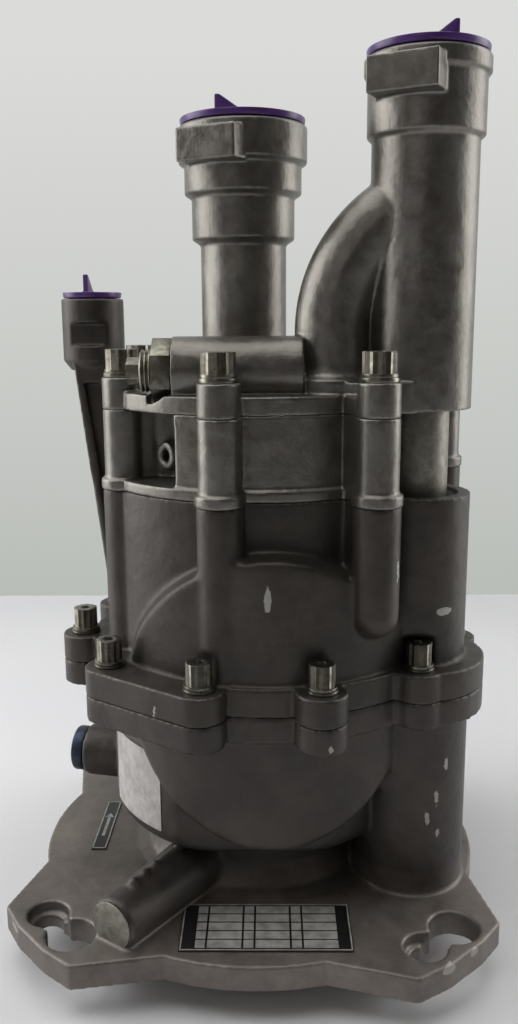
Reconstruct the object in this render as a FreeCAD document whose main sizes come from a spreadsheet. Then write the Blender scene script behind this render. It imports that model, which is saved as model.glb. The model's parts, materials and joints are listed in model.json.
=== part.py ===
import FreeCAD, Part
import Sketcher
import os
import re

# Engine-driven axial piston pump, standing on its mounting pilot with the ports up.
# Millimetres. Origin: centre of the pilot's end face, which the pump stands on. +Z is the
# shaft axis, away from the drive. -Y is the side of the data plate.

# Driving dimensions. Places are from the shaft axis, and a rise, drop or depth is from the
# face of the piece that carries the feature.
SIZES = {
    # Mounting flange with four keyhole slots for a quick-release ring
    "pilot_radius": 70.0,
    "pilot_height": 11.0,
    "pilot_chamfer": 1.5,
    "flange_thick": 9.0,
    "flange_radius": 84.0,
    "ear_reach": 103.0,
    "ear_half_width": 21.5,
    "ear_root_half_width": 37.0,
    "ear_root_reach": 76.0,
    "ear_angle": 312.0,
    "keyhole_circle": 92.0,
    "keyhole_entry": 8.5,
    "keyhole_slot": 5.0,
    "keyhole_seat": 7.2,
    "keyhole_seat_depth": 4.0,
    "keyhole_sweep": 9.5,
    # Drive housing, between the flange and the split line
    "drive_case_height": 76.0,
    "neck_radius": 40.0,
    "neck_flare": 9.0,
    "neck_overlap": 19.0,
    "drum_radius": 56.0,
    "drum_depth": 57.0,
    "drum_front": 48.5,
    "drum_round": 5.0,
    "case_wall": 4.0,
    "belly_centre": 5.0,
    "belly_rise": 1.5,
    "belly_radius": 50.5,
    "belly_reach": 61.5,
    "stub_angle": 236.0,
    "stub_radius": 9.2,
    "stub_reach": 86.5,
    "stub_height": 26.5,
    "stub_root": 12.5,
    "plug_boss_radius": 10.4,
    "plug_boss_reach": 72.0,
    "plug_boss_angle": 168.0,
    "plug_height": 48.5,
    "plug_thread": 5.0,
    "plug_hex": 9.0,
    "plug_head": 5.0,
    # Bolted rim at the split line
    "rim_below": 9.0,
    "rim_above": 10.0,
    "rim_x": 4.0,
    "rim_y": 4.0,
    "rim_radius": 67.5,
    "rim_circle": 70.5,
    "rim_lobe": 8.6,
    "rim_phase": 251.5,
    "rim_bolts": 11,
    "rim_bolt_radius": 2.5,
    "rim_washer_thick": 1.0,
    "rim_head_radius": 4.4,
    "rim_head_height": 7.5,
    "rim_washer_radius": 5.4,
    # Main housing, between the split line and the port block
    "case_height": 68.5,
    "body_x": 1.0,
    "body_y": 8.0,
    "body_radius": 58.0,
    "passage_x": 56.0,
    "passage_y": -25.0,
    "passage_boss": 18.5,
    "passage_boss_low": 20.5,
    "passage_pad": 25.5,
    "passage_web_depth": 36.0,
    "column_radius": 7.8,
    "short_column_length": 36.5,
    "drain_x": -68.8,
    "drain_y": 52.0,
    "drain_rise": 67.5,
    "drain_boss_length": 29.0,
    "drain_radius": 12.8,
    "drain_bore": 9.5,
    "drain_bore_depth": 10.0,
    "drain_recess_width": 16.0,
    "drain_recess_depth": 2.5,
    "arm_thick": 17.0,
    "arm_recess": 4.0,
    "arm_rail": 4.0,
    "post_width": 5.0,
    "post_height": 13.0,
    # Port block and its long bolts
    "block_height": 28.5,
    "block_lip": 4.0,
    "block_lip_out": 1.3,
    "block_radius": 56.5,
    "block_pocket": 15.0,
    "pocket_angle": 225.0,
    "pocket_boss": 5.0,
    "pocket_rise": 12.5,
    "bolt_x": 14.0,
    "bolt_y": 8.0,
    "bolt_circle": 66.0,
    "bolt_stations": 8,
    "bolt_phase": 247.5,
    "boss_radius": 7.0,
    "bolt_radius": 3.0,
    "bolt_depth": 24.0,
    "head_radius": 5.6,
    "head_height": 7.0,
    "washer_radius": 6.3,
    "washer_thick": 1.5,
    "bolt_clearance": 0.3,
    # Port cap: plate, bolt bosses and the two ports
    "plate_thick": 6.0,
    "boss_height": 11.0,
    "suction_x": -4.4,
    "suction_y": 5.0,
    "suction_height": 97.0,
    "suction_tube": 15.5,
    "suction_step": 18.5,
    "suction_collar": 21.0,
    "suction_rim": 23.0,
    "suction_step_drop": 38.5,
    "suction_collar_drop": 23.0,
    "suction_rim_drop": 12.5,
    "suction_bore": 12.0,
    "suction_mouth": 17.5,
    "suction_mouth_depth": 16.0,
    "outlet_height": 112.0,
    "outlet_tube": 17.6,
    "outlet_collar": 19.2,
    "outlet_rim": 20.4,
    "outlet_collar_drop": 24.0,
    "outlet_rim_drop": 5.5,
    "outlet_bore": 10.5,
    "outlet_mouth": 15.5,
    "outlet_mouth_depth": 16.0,
    "tube_radius": 10.5,
    "tube_wall": 2.5,
    "tube_socket": 14.0,
    "elbow_x": 26.0,
    "elbow_bend": 45.0,
    "elbow_radius": 12.6,
    "elbow_riser": 26.0,
    "elbow_foot_out": 3.5,
    "lug_width": 23.0,
    "lug_height": 11.0,
    "lug_out": 3.5,
    "lug_drop": 3.0,
    "lug_angle": 242.0,
    # Compensator barrel cast on the port cap, axis along X
    "comp_y": -30.0,
    "comp_rise": 13.6,
    "comp_radius": 11.4,
    "comp_left": -27.5,
    "comp_right": 16.0,
    "comp_bore": 8.0,
    "comp_bore_depth": 38.0,
    "nut_thick": 6.6,
    "nut_radius": 10.9,
    "screw_radius": 7.2,
    "screw_out": 9.0,
    "screw_in": 7.0,
    "tip_radius": 4.6,
    "tip_length": 4.6,
    "thread_turns": 3,
    "thread_pitch": 1.4,
    "thread_depth": 0.7,
    "seat_thick": 4.0,
    "spool_length": 14.0,
    # Rotating group on the shaft axis
    "cavity_radius": 46.0,
    "swing_radius": 43.0,
    "shaft_radius": 11.0,
    "shaft_low": 2.0,
    "shaft_rise": 14.0,
    "journal_radius": 12.5,
    "journal_lead": 2.0,
    "journal_tail": 5.0,
    "spline_teeth": 14,
    "spline_depth": 1.2,
    "spline_tooth": 1.8,
    "drive_recess": 24.0,
    "recess_land": 3.0,
    "seal_spacing": 4.0,
    "seal_thick": 9.0,
    "seal_outer": 19.0,
    "bearing_depth": 61.0,
    "bearing_width": 14.0,
    "bearing_outer": 24.0,
    "race_thick": 3.4,
    "bearing_rollers": 12,
    "rear_bearing_outer": 15.0,
    "rear_bearing_rise": 2.0,
    "rear_bearing_width": 10.0,
    "barrel_radius": 38.0,
    "barrel_rise": 30.5,
    "barrel_gap": 0.4,
    "piston_count": 9,
    "piston_circle": 27.0,
    "piston_radius": 6.0,
    "piston_depth": 11.8,
    "bore_land": 5.8,
    "slipper_rise": 8.8,
    "slipper_radius": 6.4,
    "slipper_flange": 2.0,
    "slipper_neck": 4.4,
    "slipper_height": 7.5,
    "piston_travel": 8.2,
    "piston_neck": 4.0,
    "retainer_thick": 2.0,
    "retainer_outer": 35.5,
    "guide_outer": 18.0,
    "valve_plate_thick": 3.8,
    "valve_plate_radius": 40.0,
    "kidney_half_width": 4.0,
    "wear_plate_thick": 3.0,
    "wear_plate_radius": 36.0,
    "hanger_radius": 40.5,
    "hanger_half_width": 34.0,
    "hanger_half_length": 24.0,
    "hanger_foot": 15.5,
    "trunnion_radius": 8.0,
    "trunnion_reach": 55.0,
    "trunnion_bearing": 12.0,
    "trunnion_bearing_width": 9.0,
    "arm_place": 32.0,
    "arm_reach": 38.0,
    "arm_drop": 12.0,
    "arm_height": 8.0,
    "control_radius": 5.5,
    "control_depth": 54.0,
    "control_room": 16.0,
    "return_spring_height": 7.0,
    # Fits
    "running_fit": 0.06,
    "thread_fit": 0.05,
    "seat_gap": 0.3,
    # Thickness of a coned spring washer
    "washer_spring": 0.9,
}

# Heights that follow from the sizes: each piece stands on the one that carries it
HEIGHTS = {
    "split_height": "pilot_height + flange_thick + drive_case_height",
    "drum_bottom": "split_height - drum_depth",
    "neck_top": "drum_bottom + neck_overlap",
    "belly_height": "split_height + belly_rise",
    "passage_web_low": "split_height - passage_web_depth",
    "post_top": "split_height + rim_above + post_height",
    "deck_height": "split_height + case_height",
    "short_column": "deck_height - short_column_length",
    "drain_top": "deck_height + drain_rise",
    "drain_bottom": "drain_top - drain_boss_length",
    "pocket_height": "deck_height + pocket_rise",
    "elbow_rise": "deck_height + block_height + elbow_riser",
    "comp_height": "deck_height + block_height + comp_rise",
    "suction_top": "deck_height + block_height + suction_height",
    "suction_step_low": "suction_top - suction_step_drop",
    "suction_collar_low": "suction_top - suction_collar_drop",
    "suction_rim_low": "suction_top - suction_rim_drop",
    "outlet_top": "deck_height + block_height + outlet_height",
    "outlet_collar_low": "outlet_top - outlet_collar_drop",
    "outlet_rim_low": "outlet_top - outlet_rim_drop",
    "bearing_low": "split_height - bearing_depth",
    "seal_low": "bearing_low - seal_spacing - seal_thick",
    "drive_recess_top": "seal_low - recess_land",
    "journal_low": "seal_low - journal_lead",
    "journal_high": "bearing_low + bearing_width + journal_tail",
    "shaft_top": "deck_height + shaft_rise",
    "rear_bearing_low": "deck_height + rear_bearing_rise",
    "barrel_low": "split_height + barrel_rise",
    "barrel_top": "deck_height - valve_plate_thick - barrel_gap",
    "piston_top": "barrel_top - piston_depth",
    "bore_top": "barrel_top - bore_land",
    "slipper_low": "split_height + slipper_rise",
    "arm_bottom": "split_height - arm_drop",
    "arm_top": "arm_bottom + arm_height",
    "control_low": "split_height - control_depth",
    "control_well": "control_low - control_room",
    "return_spring_top": "control_well + return_spring_height",
}


def build_sheet(document):
    """One row per size and per height: its name, its value or formula, and its alias."""
    cells = document.addObject("Spreadsheet::Sheet", "Sizes")
    rows = list(SIZES.items()) + [(alias, "=" + text) for alias, text in HEIGHTS.items()]
    for row, (alias, value) in enumerate(rows, start=1):
        cells.set(f"A{row}", alias)
        cells.setAlias(f"B{row}", alias)
        cells.set(f"B{row}", str(value))
    return cells


doc = FreeCAD.newDocument("HydraulicPump")
sheet = build_sheet(doc)
doc.recompute()

ALONG_X = FreeCAD.Rotation(FreeCAD.Vector(0, 1, 0), 90)
ALONG_Y = FreeCAD.Rotation(FreeCAD.Vector(1, 0, 0), -90)
UPRIGHT = FreeCAD.Rotation()

# Heights that several pieces share, as formulas of the sheet's cells
FLANGE_TOP = "(pilot_height + flange_thick)"
RIM_LOW = "(split_height - rim_below)"
RIM_TOP = "(split_height + rim_above)"
BLOCK_TOP = "(deck_height + block_height)"
BOSS_TOP = "(deck_height + block_height + boss_height)"


def turn(angle):
    """Rotation about the vertical by an angle in degrees."""
    return FreeCAD.Rotation(FreeCAD.Vector(0, 0, 1), angle)


def formula(text):
    """A formula written with plain size names, as the document's expression language wants it."""
    return re.sub(r"\b[a-z]+(?:_[a-z]+)+\b", lambda word: "Sizes." + word.group(0), str(text))


def bind(item, **formulas):
    for name, text in formulas.items():
        item.setExpression(name, formula(text))
    return item


def place(item, x, y, z, rotation=UPRIGHT):
    """Put an item at a place given by three formulas, turned by a fixed rotation."""
    item.Placement = FreeCAD.Placement(FreeCAD.Vector(), rotation)
    item.setExpression("Placement.Base.x", formula(x))
    item.setExpression("Placement.Base.y", formula(y))
    item.setExpression("Placement.Base.z", formula(z))
    return item


def cylinder(name, radius, height, x=0, y=0, z=0, rotation=UPRIGHT):
    item = doc.addObject("Part::Cylinder", name)
    bind(item, Radius=radius, Height=height)
    return place(item, x, y, z, rotation)


def sphere(name, radius, x=0, y=0, z=0):
    item = doc.addObject("Part::Sphere", name)
    bind(item, Radius=radius)
    return place(item, x, y, z)


def box(name, length, width, height, x=0, y=0, z=0, rotation=UPRIGHT):
    item = doc.addObject("Part::Box", name)
    bind(item, Length=length, Width=width, Height=height)
    return place(item, x, y, z, rotation)


def prism(name, sides, radius, height, x=0, y=0, z=0, rotation=UPRIGHT):
    item = doc.addObject("Part::Prism", name)
    item.Polygon = sides
    bind(item, Circumradius=radius, Height=height)
    return place(item, x, y, z, rotation)


def fuse(name, pieces):
    item = doc.addObject("Part::MultiFuse", name)
    item.Shapes = pieces
    item.Refine = True
    return item


def cut(name, base, tools):
    item = doc.addObject("Part::Cut", name)
    item.Base = base
    item.Tool = tools[0] if len(tools) == 1 else fuse(name + "_tools", tools)
    item.Refine = True
    return item


def common(name, pieces):
    item = doc.addObject("Part::MultiCommon", name)
    item.Shapes = pieces
    return item


def group(name, pieces):
    """Separate solids that share one node."""
    item = doc.addObject("Part::Compound", name)
    item.Links = pieces
    return item


def origin_plane(body, role):
    return next(item for item in body.Origin.OriginFeatures if item.Role == role)


def sketch_on(body, name, role):
    sketch = body.newObject("Sketcher::SketchObject", name)
    sketch.AttachmentSupport = (origin_plane(body, role), [""])
    sketch.MapMode = "FlatFace"
    return sketch


def pin_corner(sketch, edge, across, up):
    """Hold the start of an edge at a place given by two formulas."""
    for kind, text in (("DistanceX", across), ("DistanceY", up)):
        if str(text) == "0":
            axis = -2 if kind == "DistanceX" else -1
            sketch.addConstraint(Sketcher.Constraint("PointOnObject", edge, 1, axis))
            continue
        value = sheet_value(text)
        index = sketch.addConstraint(Sketcher.Constraint(kind, -1, 1, edge, 1, value))
        sketch.setExpression(f"Constraints[{index}]", formula(text))


def sheet_value(text):
    """A formula's value now, so that a sketch starts near its final form."""
    return sheet.evalExpression(str(text))


def outline(sketch, corners):
    """A closed outline of straight edges between corners, each given by two formulas."""
    places = [FreeCAD.Vector(sheet_value(a), sheet_value(b), 0) for a, b in corners]
    count = len(places)
    for i in range(count):
        sketch.addGeometry(Part.LineSegment(places[i], places[(i + 1) % count]), False)
    for i in range(count):
        sketch.addConstraint(Sketcher.Constraint("Coincident", i, 2, (i + 1) % count, 1))
    for i, (across, up) in enumerate(corners):
        pin_corner(sketch, i, across, up)


def revolved(name, corners, x=0, y=0, z=0, rotation=UPRIGHT):
    """A turned piece: an outline in radius and height, turned about the vertical."""
    body = doc.addObject("PartDesign::Body", name)
    sketch = sketch_on(body, name + "_outline", "XZ_Plane")
    outline(sketch, corners)
    turning = body.newObject("PartDesign::Revolution", name + "_turning")
    turning.Profile = sketch
    turning.ReferenceAxis = (sketch, ["V_Axis"])
    turning.Angle = 360
    place(body, x, y, z, rotation)
    return body


def padded(name, role, corners, thickness, x=0, y=0, z=0, midplane=False):
    """A piece of even thickness: an outline on one of the main planes, thickened."""
    body = doc.addObject("PartDesign::Body", name)
    sketch = sketch_on(body, name + "_outline", role)
    outline(sketch, corners)
    pad = body.newObject("PartDesign::Pad", name + "_pad")
    pad.Profile = sketch
    pad.SideType = "Symmetric" if midplane else "One side"
    pad.setExpression("Length", formula(thickness))
    place(body, x, y, z)
    return body


def ring(name, inner, outer, low, high, x=0, y=0):
    corners = [(inner, low), (outer, low), (outer, high), (inner, high)]
    return revolved(name, corners, x, y)


def around(circle, phase, index, count, x, y):
    """Formulas for the place of one of several stations on a circle."""
    angle = f"({phase} + {index} * 360 / {count})"
    return f"{x} + {circle} * cos({angle})", f"{y} + {circle} * sin({angle})"


def rim_station(index):
    return around("rim_circle", "rim_phase", index, "rim_bolts", "rim_x", "rim_y")


def deck_station(index):
    return around("bolt_circle", "bolt_phase", index, "bolt_stations", "bolt_x", "bolt_y")


def deck_angle(index):
    return SIZES["bolt_phase"] + index * 360 / SIZES["bolt_stations"]


RIM_STATIONS = range(SIZES["rim_bolts"])
# The rim is filled out between the two bolts at the left of the front
RIM_WEBS = (SIZES["rim_bolts"] - 1,)
# The outlet passage stands where the station after the two front bolts would be
DECK_STATIONS = [i for i in range(SIZES["bolt_stations"]) if i != 2]
PISTONS = range(SIZES["piston_count"])
EARS = range(4)


def rim_web(name, index, low, height):
    """Straight web from one rim bolt to the next, as wide as their lobes."""
    angle = SIZES["rim_phase"] + (index + 0.5) * 360 / SIZES["rim_bolts"] + 90
    x, y = rim_station(index)
    return box(name, "2 * rim_circle * sin(180 / rim_bolts)", "2 * rim_lobe", height,
               f"{x} + rim_lobe * sin({angle})", f"{y} - rim_lobe * cos({angle})", low, turn(angle))


def rim_pieces(name, low, height):
    """The bolted rim: a disc with a lobe at each bolt and a pad round the passage."""
    pieces = [cylinder(f"{name}_disc", "rim_radius", height, "rim_x", "rim_y", low)]
    for i in RIM_STATIONS:
        x, y = rim_station(i)
        pieces.append(cylinder(f"{name}_lobe_{i}", "rim_lobe", height, x, y, low))
    for i in RIM_WEBS:
        pieces.append(rim_web(f"{name}_web_{i}", i, low, height))
    pieces.append(cylinder(f"{name}_pad", "passage_pad", height, "passage_x", "passage_y", low))
    return pieces


def belly(name, low, height):
    """The round front and back of the case, which give the tilting hanger its room."""
    across = cylinder(
        f"{name}_across", "belly_radius", "2 * belly_reach",
        "belly_centre", "-belly_reach", "belly_height", ALONG_Y,
    )
    upright = cylinder(f"{name}_upright", "belly_reach", height, "belly_centre", 0, low)
    return common(f"{name}_belly", [across, upright])


def trunnion_saddle(name):
    """The bore that both housings share for the hanger's two bearings."""
    reach = "(trunnion_reach + seat_gap)"
    return cylinder(
        f"{name}_saddle", "trunnion_bearing", f"2 * {reach}", 0, f"-{reach}", "split_height", ALONG_Y
    )


def swing_room():
    """Room for the hanger, kept inside the drum so that the case has a wall all round."""
    across = cylinder("swing_across", "swing_radius", "2 * cavity_radius",
                      0, "-cavity_radius", "split_height", ALONG_Y)
    upright = cylinder("swing_upright", "drum_radius - case_wall", "split_height", 0, 0, 0)
    return common("swing_room", [across, upright])


def mounting_flange():
    """Round flange with four ears, thickened from an outline, and its pilot."""
    disc = cylinder("flange_disc", "flange_radius", "flange_thick", 0, 0, "pilot_height")
    pieces = [disc]
    for i in EARS:
        ear = padded(
            f"flange_ear_{i}", "XY_Plane",
            [
                ("0", "-ear_root_half_width"),
                ("ear_root_reach", "-ear_root_half_width"),
                ("sqrt(ear_reach ^ 2 - ear_half_width ^ 2)", "-ear_half_width"),
                ("ear_reach", "-ear_half_width * 0.4"),
                ("ear_reach", "ear_half_width * 0.4"),
                ("sqrt(ear_reach ^ 2 - ear_half_width ^ 2)", "ear_half_width"),
                ("ear_root_reach", "ear_root_half_width"),
                ("0", "ear_root_half_width"),
            ],
            "flange_thick",
        )
        place(ear, 0, 0, "pilot_height", turn(SIZES["ear_angle"] + 90 * i))
        pieces.append(ear)
    pilot = revolved("pilot", [
        ("0", "0"),
        ("pilot_radius - pilot_chamfer", "0"),
        ("pilot_radius", "pilot_chamfer"),
        ("pilot_radius", "pilot_height + flange_thick / 2"),
        ("0", "pilot_height + flange_thick / 2"),
    ])
    pieces.append(pilot)
    return pieces


def keyholes():
    """Each keyhole: a round entry, a slot along the bolt circle and a sunk seat at its end."""
    tools = []
    deep = "2 * flange_thick"
    low = "pilot_height - flange_thick / 2"
    for i in EARS:
        start = SIZES["ear_angle"] + 90 * i + SIZES["keyhole_sweep"] / 2
        steps = 3
        for k in range(steps + 1):
            angle = start - SIZES["keyhole_sweep"] * k / steps
            x, y = f"keyhole_circle * cos({angle})", f"keyhole_circle * sin({angle})"
            radius = "keyhole_entry" if k == 0 else "keyhole_slot"
            tools.append(cylinder(f"keyhole_{i}_{k}", radius, deep, x, y, low))
        seat_low = f"{FLANGE_TOP} - keyhole_seat_depth"
        tools.append(cylinder(f"keyhole_seat_{i}", "keyhole_seat", "flange_thick", x, y, seat_low))
    return tools


def drive_housing():
    """Flange, pilot, neck, drum and the lower half of the bolted rim, one casting."""
    neck = revolved("neck", [
        ("0", "pilot_height"),
        ("neck_radius + neck_flare", "pilot_height"),
        ("neck_radius + neck_flare", FLANGE_TOP),
        ("neck_radius + neck_flare * 0.4", f"{FLANGE_TOP} + neck_flare * 0.2"),
        ("neck_radius", f"{FLANGE_TOP} + neck_flare"),
        ("neck_radius", "neck_top"),
        ("0", "neck_top"),
    ])
    drum_round = revolved("drum_round", [
        ("0", "drum_bottom"),
        ("drum_radius - drum_round", "drum_bottom"),
        ("drum_radius - drum_round * 0.3", "drum_bottom + drum_round * 0.3"),
        ("drum_radius", "drum_bottom + drum_round"),
        ("drum_radius", RIM_LOW + " + rim_below / 2"),
        ("0", RIM_LOW + " + rim_below / 2"),
    ])
    behind = box(
        "drum_space", "2 * drum_radius", "drum_radius + drum_front", "split_height",
        "-drum_radius", "-drum_front", 0,
    )
    drum = common("drum", [drum_round, behind])
    stub = revolved("stub", [
        ("0", "0"),
        ("stub_root", "0"),
        ("stub_radius + 0.6", "stub_reach * 0.75"),
        ("stub_radius", "stub_reach - 0.8"),
        ("stub_radius - 0.8", "stub_reach"),
        ("0", "stub_reach"),
    ], 0, 0, "stub_height", turn(SIZES["stub_angle"]).multiply(ALONG_X))
    boss_length = "plug_boss_reach - neck_radius / 2"
    boss_turn = turn(SIZES["plug_boss_angle"]).multiply(ALONG_X)
    plug_boss = cylinder(
        "plug_boss", "plug_boss_radius", boss_length,
        "neck_radius / 2 * cos(plug_boss_angle)", "neck_radius / 2 * sin(plug_boss_angle)",
        "plug_height", boss_turn,
    )
    passage = cylinder(
        "low_passage", "passage_boss_low", f"split_height - {FLANGE_TOP} + flange_thick / 2",
        "passage_x", "passage_y", f"{FLANGE_TOP} - flange_thick / 2",
    )
    passage_web = box(
        "low_passage_web", "passage_x", "passage_boss_low * 1.5", "split_height - passage_web_low",
        0, "passage_y - passage_boss_low * 0.85", "passage_web_low",
    )
    casting = fuse("drive_casting", mounting_flange()
                   + [neck, drum, stub, plug_boss, passage, passage_web]
                   + [belly("low", FLANGE_TOP, f"split_height - {FLANGE_TOP}")]
                   + rim_pieces("low_rim", RIM_LOW, "rim_below"))
    above = box("above_split", "4 * ear_reach", "4 * ear_reach", "4 * ear_reach",
                "-2 * ear_reach", "-2 * ear_reach", "split_height")
    bores = [
        above,
        cylinder("drive_recess_bore", "drive_recess", "drive_recess_top + pilot_height",
                 0, 0, "-pilot_height"),
        cylinder("seal_bore", "seal_outer", "bearing_low - seal_low + bearing_width / 2",
                 0, 0, "seal_low"),
        cylinder("shaft_way", "journal_radius + 1.5", "bearing_low", 0, 0, "drive_recess_top / 2"),
        cylinder("bearing_bore", "bearing_outer", "split_height - bearing_low", 0, 0, "bearing_low"),
        swing_room(),
        trunnion_saddle("low"),
        cylinder("plug_bore", "plug_thread", "14",
                 "(plug_boss_reach - 14) * cos(plug_boss_angle)",
                 "(plug_boss_reach - 14) * sin(plug_boss_angle)",
                 "plug_height", boss_turn),
    ]
    for side, sign in (("control", ""), ("return", "-")):
        bores.append(cylinder(f"{side}_well", "control_radius + running_fit", "arm_bottom - control_well",
                              f"{sign}arm_place", 0, "control_well"))
    for i in RIM_STATIONS:
        x, y = rim_station(i)
        bores.append(cylinder(f"low_rim_hole_{i}", "rim_bolt_radius + thread_fit", "rim_below + 1",
                              x, y, f"{RIM_LOW} - 0.5"))
    return cut("drive_housing", casting, bores + keyholes())


def drain_arm():
    """Tapered web of the main housing that carries the case drain port."""
    return padded("drain_arm", "XZ_Plane", [
        ("drain_x - drain_radius * 0.55", "drain_bottom + 3"),
        ("drain_x + drain_radius * 0.6", "drain_bottom + 3"),
        ("drain_x + drain_radius * 1.5", "deck_height - 4"),
        ("body_x - body_radius * 0.55", "deck_height - 14"),
        ("body_x - body_radius * 0.55", RIM_TOP + " - 1"),
        ("drain_x + 4.5", RIM_TOP + " - 1"),
    ], "arm_thick", 0, "drain_y - 2", 0, True)


def arm_recess():
    """Sunk panel in the front of the drain arm, which leaves a rail along each edge."""
    return padded("arm_recess", "XZ_Plane", [
        ("drain_x - drain_radius * 0.55 + arm_rail", "drain_bottom - 5"),
        ("drain_x + drain_radius * 0.6 - arm_rail", "drain_bottom - 5"),
        ("drain_x + drain_radius * 1.5 - arm_rail", "deck_height - 4"),
        ("drain_x + drain_radius * 1.5 - arm_rail", RIM_TOP + " + 8"),
        ("drain_x + 4.5 + arm_rail", RIM_TOP + " + 8"),
    ], "2 * arm_recess", 0, "drain_y - 2 - arm_thick / 2", 0, True)


def main_housing():
    """Case round the rotating group, open to the port block above."""
    tall = f"deck_height - {RIM_TOP}"
    body = cylinder("body_round", "body_radius", tall, "body_x", "body_y", RIM_TOP)
    pieces = [body, belly("high", "split_height", tall), drain_arm()]
    for i in DECK_STATIONS:
        x, y = deck_station(i)
        low = "short_column" if i == 1 else RIM_TOP
        pieces.append(cylinder(f"column_{i}", "column_radius", f"deck_height - {low}", x, y, low))
        if i == 1:
            pieces.append(sphere("column_foot", "column_radius", x, y, low))
        pieces.append(column_web(f"column_web_{i}", i, low, f"deck_height - {low}"))
    pieces.append(cylinder("high_passage", "passage_boss", tall, "passage_x", "passage_y", RIM_TOP))
    pieces.append(revolved("drain_boss", [
        ("0", "drain_bottom"),
        ("drain_radius - 3", "drain_bottom"),
        ("drain_radius", "drain_bottom + 4"),
        ("drain_radius", "drain_top"),
        ("0", "drain_top"),
    ], "drain_x", "drain_y"))
    post_x, post_y = rim_station(2)
    pieces.append(box("rim_post", "post_width", "post_width / 2", f"post_top - {RIM_TOP} + 1",
                      f"{post_x} - post_width / 2", f"{post_y} + rim_washer_radius + 1.5",
                      f"{RIM_TOP} - 1"))
    casting = fuse("main_casting", pieces + rim_pieces("high_rim", "split_height", "rim_above"))
    bores = [
        cylinder("main_cavity", "cavity_radius", "deck_height", 0, 0, "split_height - 1"),
        trunnion_saddle("high"),
        cylinder("tube_socket_low", "tube_radius + running_fit", "tube_socket + 1",
                 "passage_x", "passage_y", "deck_height - tube_socket"),
        cylinder("passage_spotface", "tube_radius + 3.5", "2",
                 "passage_x", "passage_y", "deck_height - 1.2"),
        cylinder("drain_bore_cut", "drain_bore", "drain_bore_depth + 1",
                 "drain_x", "drain_y", "drain_top - drain_bore_depth"),
        box("drain_recess", "drain_recess_width", "2 * drain_recess_depth", "drain_bore_depth - 0.5",
            "drain_x - drain_recess_width / 2", "drain_y - drain_radius - drain_recess_depth",
            "drain_top - 2 * drain_bore_depth + 1"),
        arm_recess(),
    ]
    for i in RIM_STATIONS:
        x, y = rim_station(i)
        bores.append(cylinder(f"high_rim_hole_{i}", "rim_bolt_radius + bolt_clearance",
                              "rim_above + 1", x, y, "split_height - 0.5"))
        bores.append(cylinder(f"rim_spotface_{i}", "rim_washer_radius + 0.8",
                              "rim_head_height + 3", x, y, RIM_TOP))
    for i in DECK_STATIONS:
        x, y = deck_station(i)
        bores.append(cylinder(f"deck_thread_{i}", "bolt_radius + thread_fit", "bolt_depth + 1",
                              x, y, "deck_height - bolt_depth"))
    return cut("main_housing", casting, bores)


def column_web(name, index, low, height):
    """Radial web that ties a column or a boss to the round body."""
    angle = deck_angle(index)
    x = f"bolt_x + boss_radius * 0.7 * sin({angle})"
    y = f"bolt_y - boss_radius * 0.7 * cos({angle})"
    return box(name, "bolt_circle", "boss_radius * 1.4", height, x, y, low, turn(angle))


def port_block():
    """Block between case and cap, with a boss at each long bolt and a thin lip round its foot."""
    lip = "block_lip"
    tall = "block_height"
    rounds = fuse("block_rounds", [
        cylinder("block_round", "block_radius", tall, "body_x", "body_y", "deck_height"),
        cylinder("block_lip_round", "block_radius + block_lip_out", lip, "body_x", "body_y", "deck_height"),
    ])
    # The pocket is sunk before the bosses are added, so that every bolt keeps its whole boss
    pocket = cylinder("block_pocket_cut", "block_pocket", "2 * block_height",
                      "body_x + block_radius * cos(pocket_angle)",
                      "body_y + block_radius * sin(pocket_angle)", "deck_height + block_lip")
    pieces = [cut("block_pocketed", rounds, [pocket])]
    for i in DECK_STATIONS:
        x, y = deck_station(i)
        pieces.append(cylinder(f"block_boss_{i}", "boss_radius", tall, x, y, "deck_height"))
        pieces.append(cylinder(f"block_foot_{i}", "boss_radius + block_lip_out", lip, x, y, "deck_height"))
        pieces.append(column_web(f"block_web_{i}", i, "deck_height", tall))
    clear = "tube_radius + 4.5"
    tools = [
        cylinder("passage_clearance", clear, "2 * block_height",
                 "passage_x", "passage_y", "deck_height - 1"),
        cylinder("rear_bearing_bore", "rear_bearing_outer",
                 "rear_bearing_width + rear_bearing_low - deck_height", 0, 0, "deck_height"),
        cylinder("shaft_end_room", "shaft_radius", "shaft_top + 2 - deck_height", 0, 0, "deck_height"),
        cylinder("block_suction_way", "suction_bore", "block_height", "suction_x", "suction_y",
                 f"{BLOCK_TOP} - 10"),
    ]
    for i in DECK_STATIONS:
        x, y = deck_station(i)
        tools.append(cylinder(f"block_hole_{i}", "bolt_radius + bolt_clearance", "2 * block_height",
                              x, y, "deck_height - 1"))
    shell = cut("block_shell", fuse("block_casting", pieces), tools)
    out = "block_radius - block_pocket - 4"
    bearing = f"body_x + ({out}) * cos(pocket_angle)", f"body_y + ({out}) * sin(pocket_angle)"
    outwards = turn(SIZES["pocket_angle"]).multiply(ALONG_X)
    boss = cylinder("pocket_boss", "pocket_boss", "pocket_boss + 4", *bearing, "pocket_height", outwards)
    hole = cylinder("pocket_hole", "pocket_boss * 0.4", "pocket_boss * 3",
                    *bearing, "pocket_height", outwards)
    return cut("port_block", fuse("block_bossed", [shell, boss]), [hole])


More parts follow.
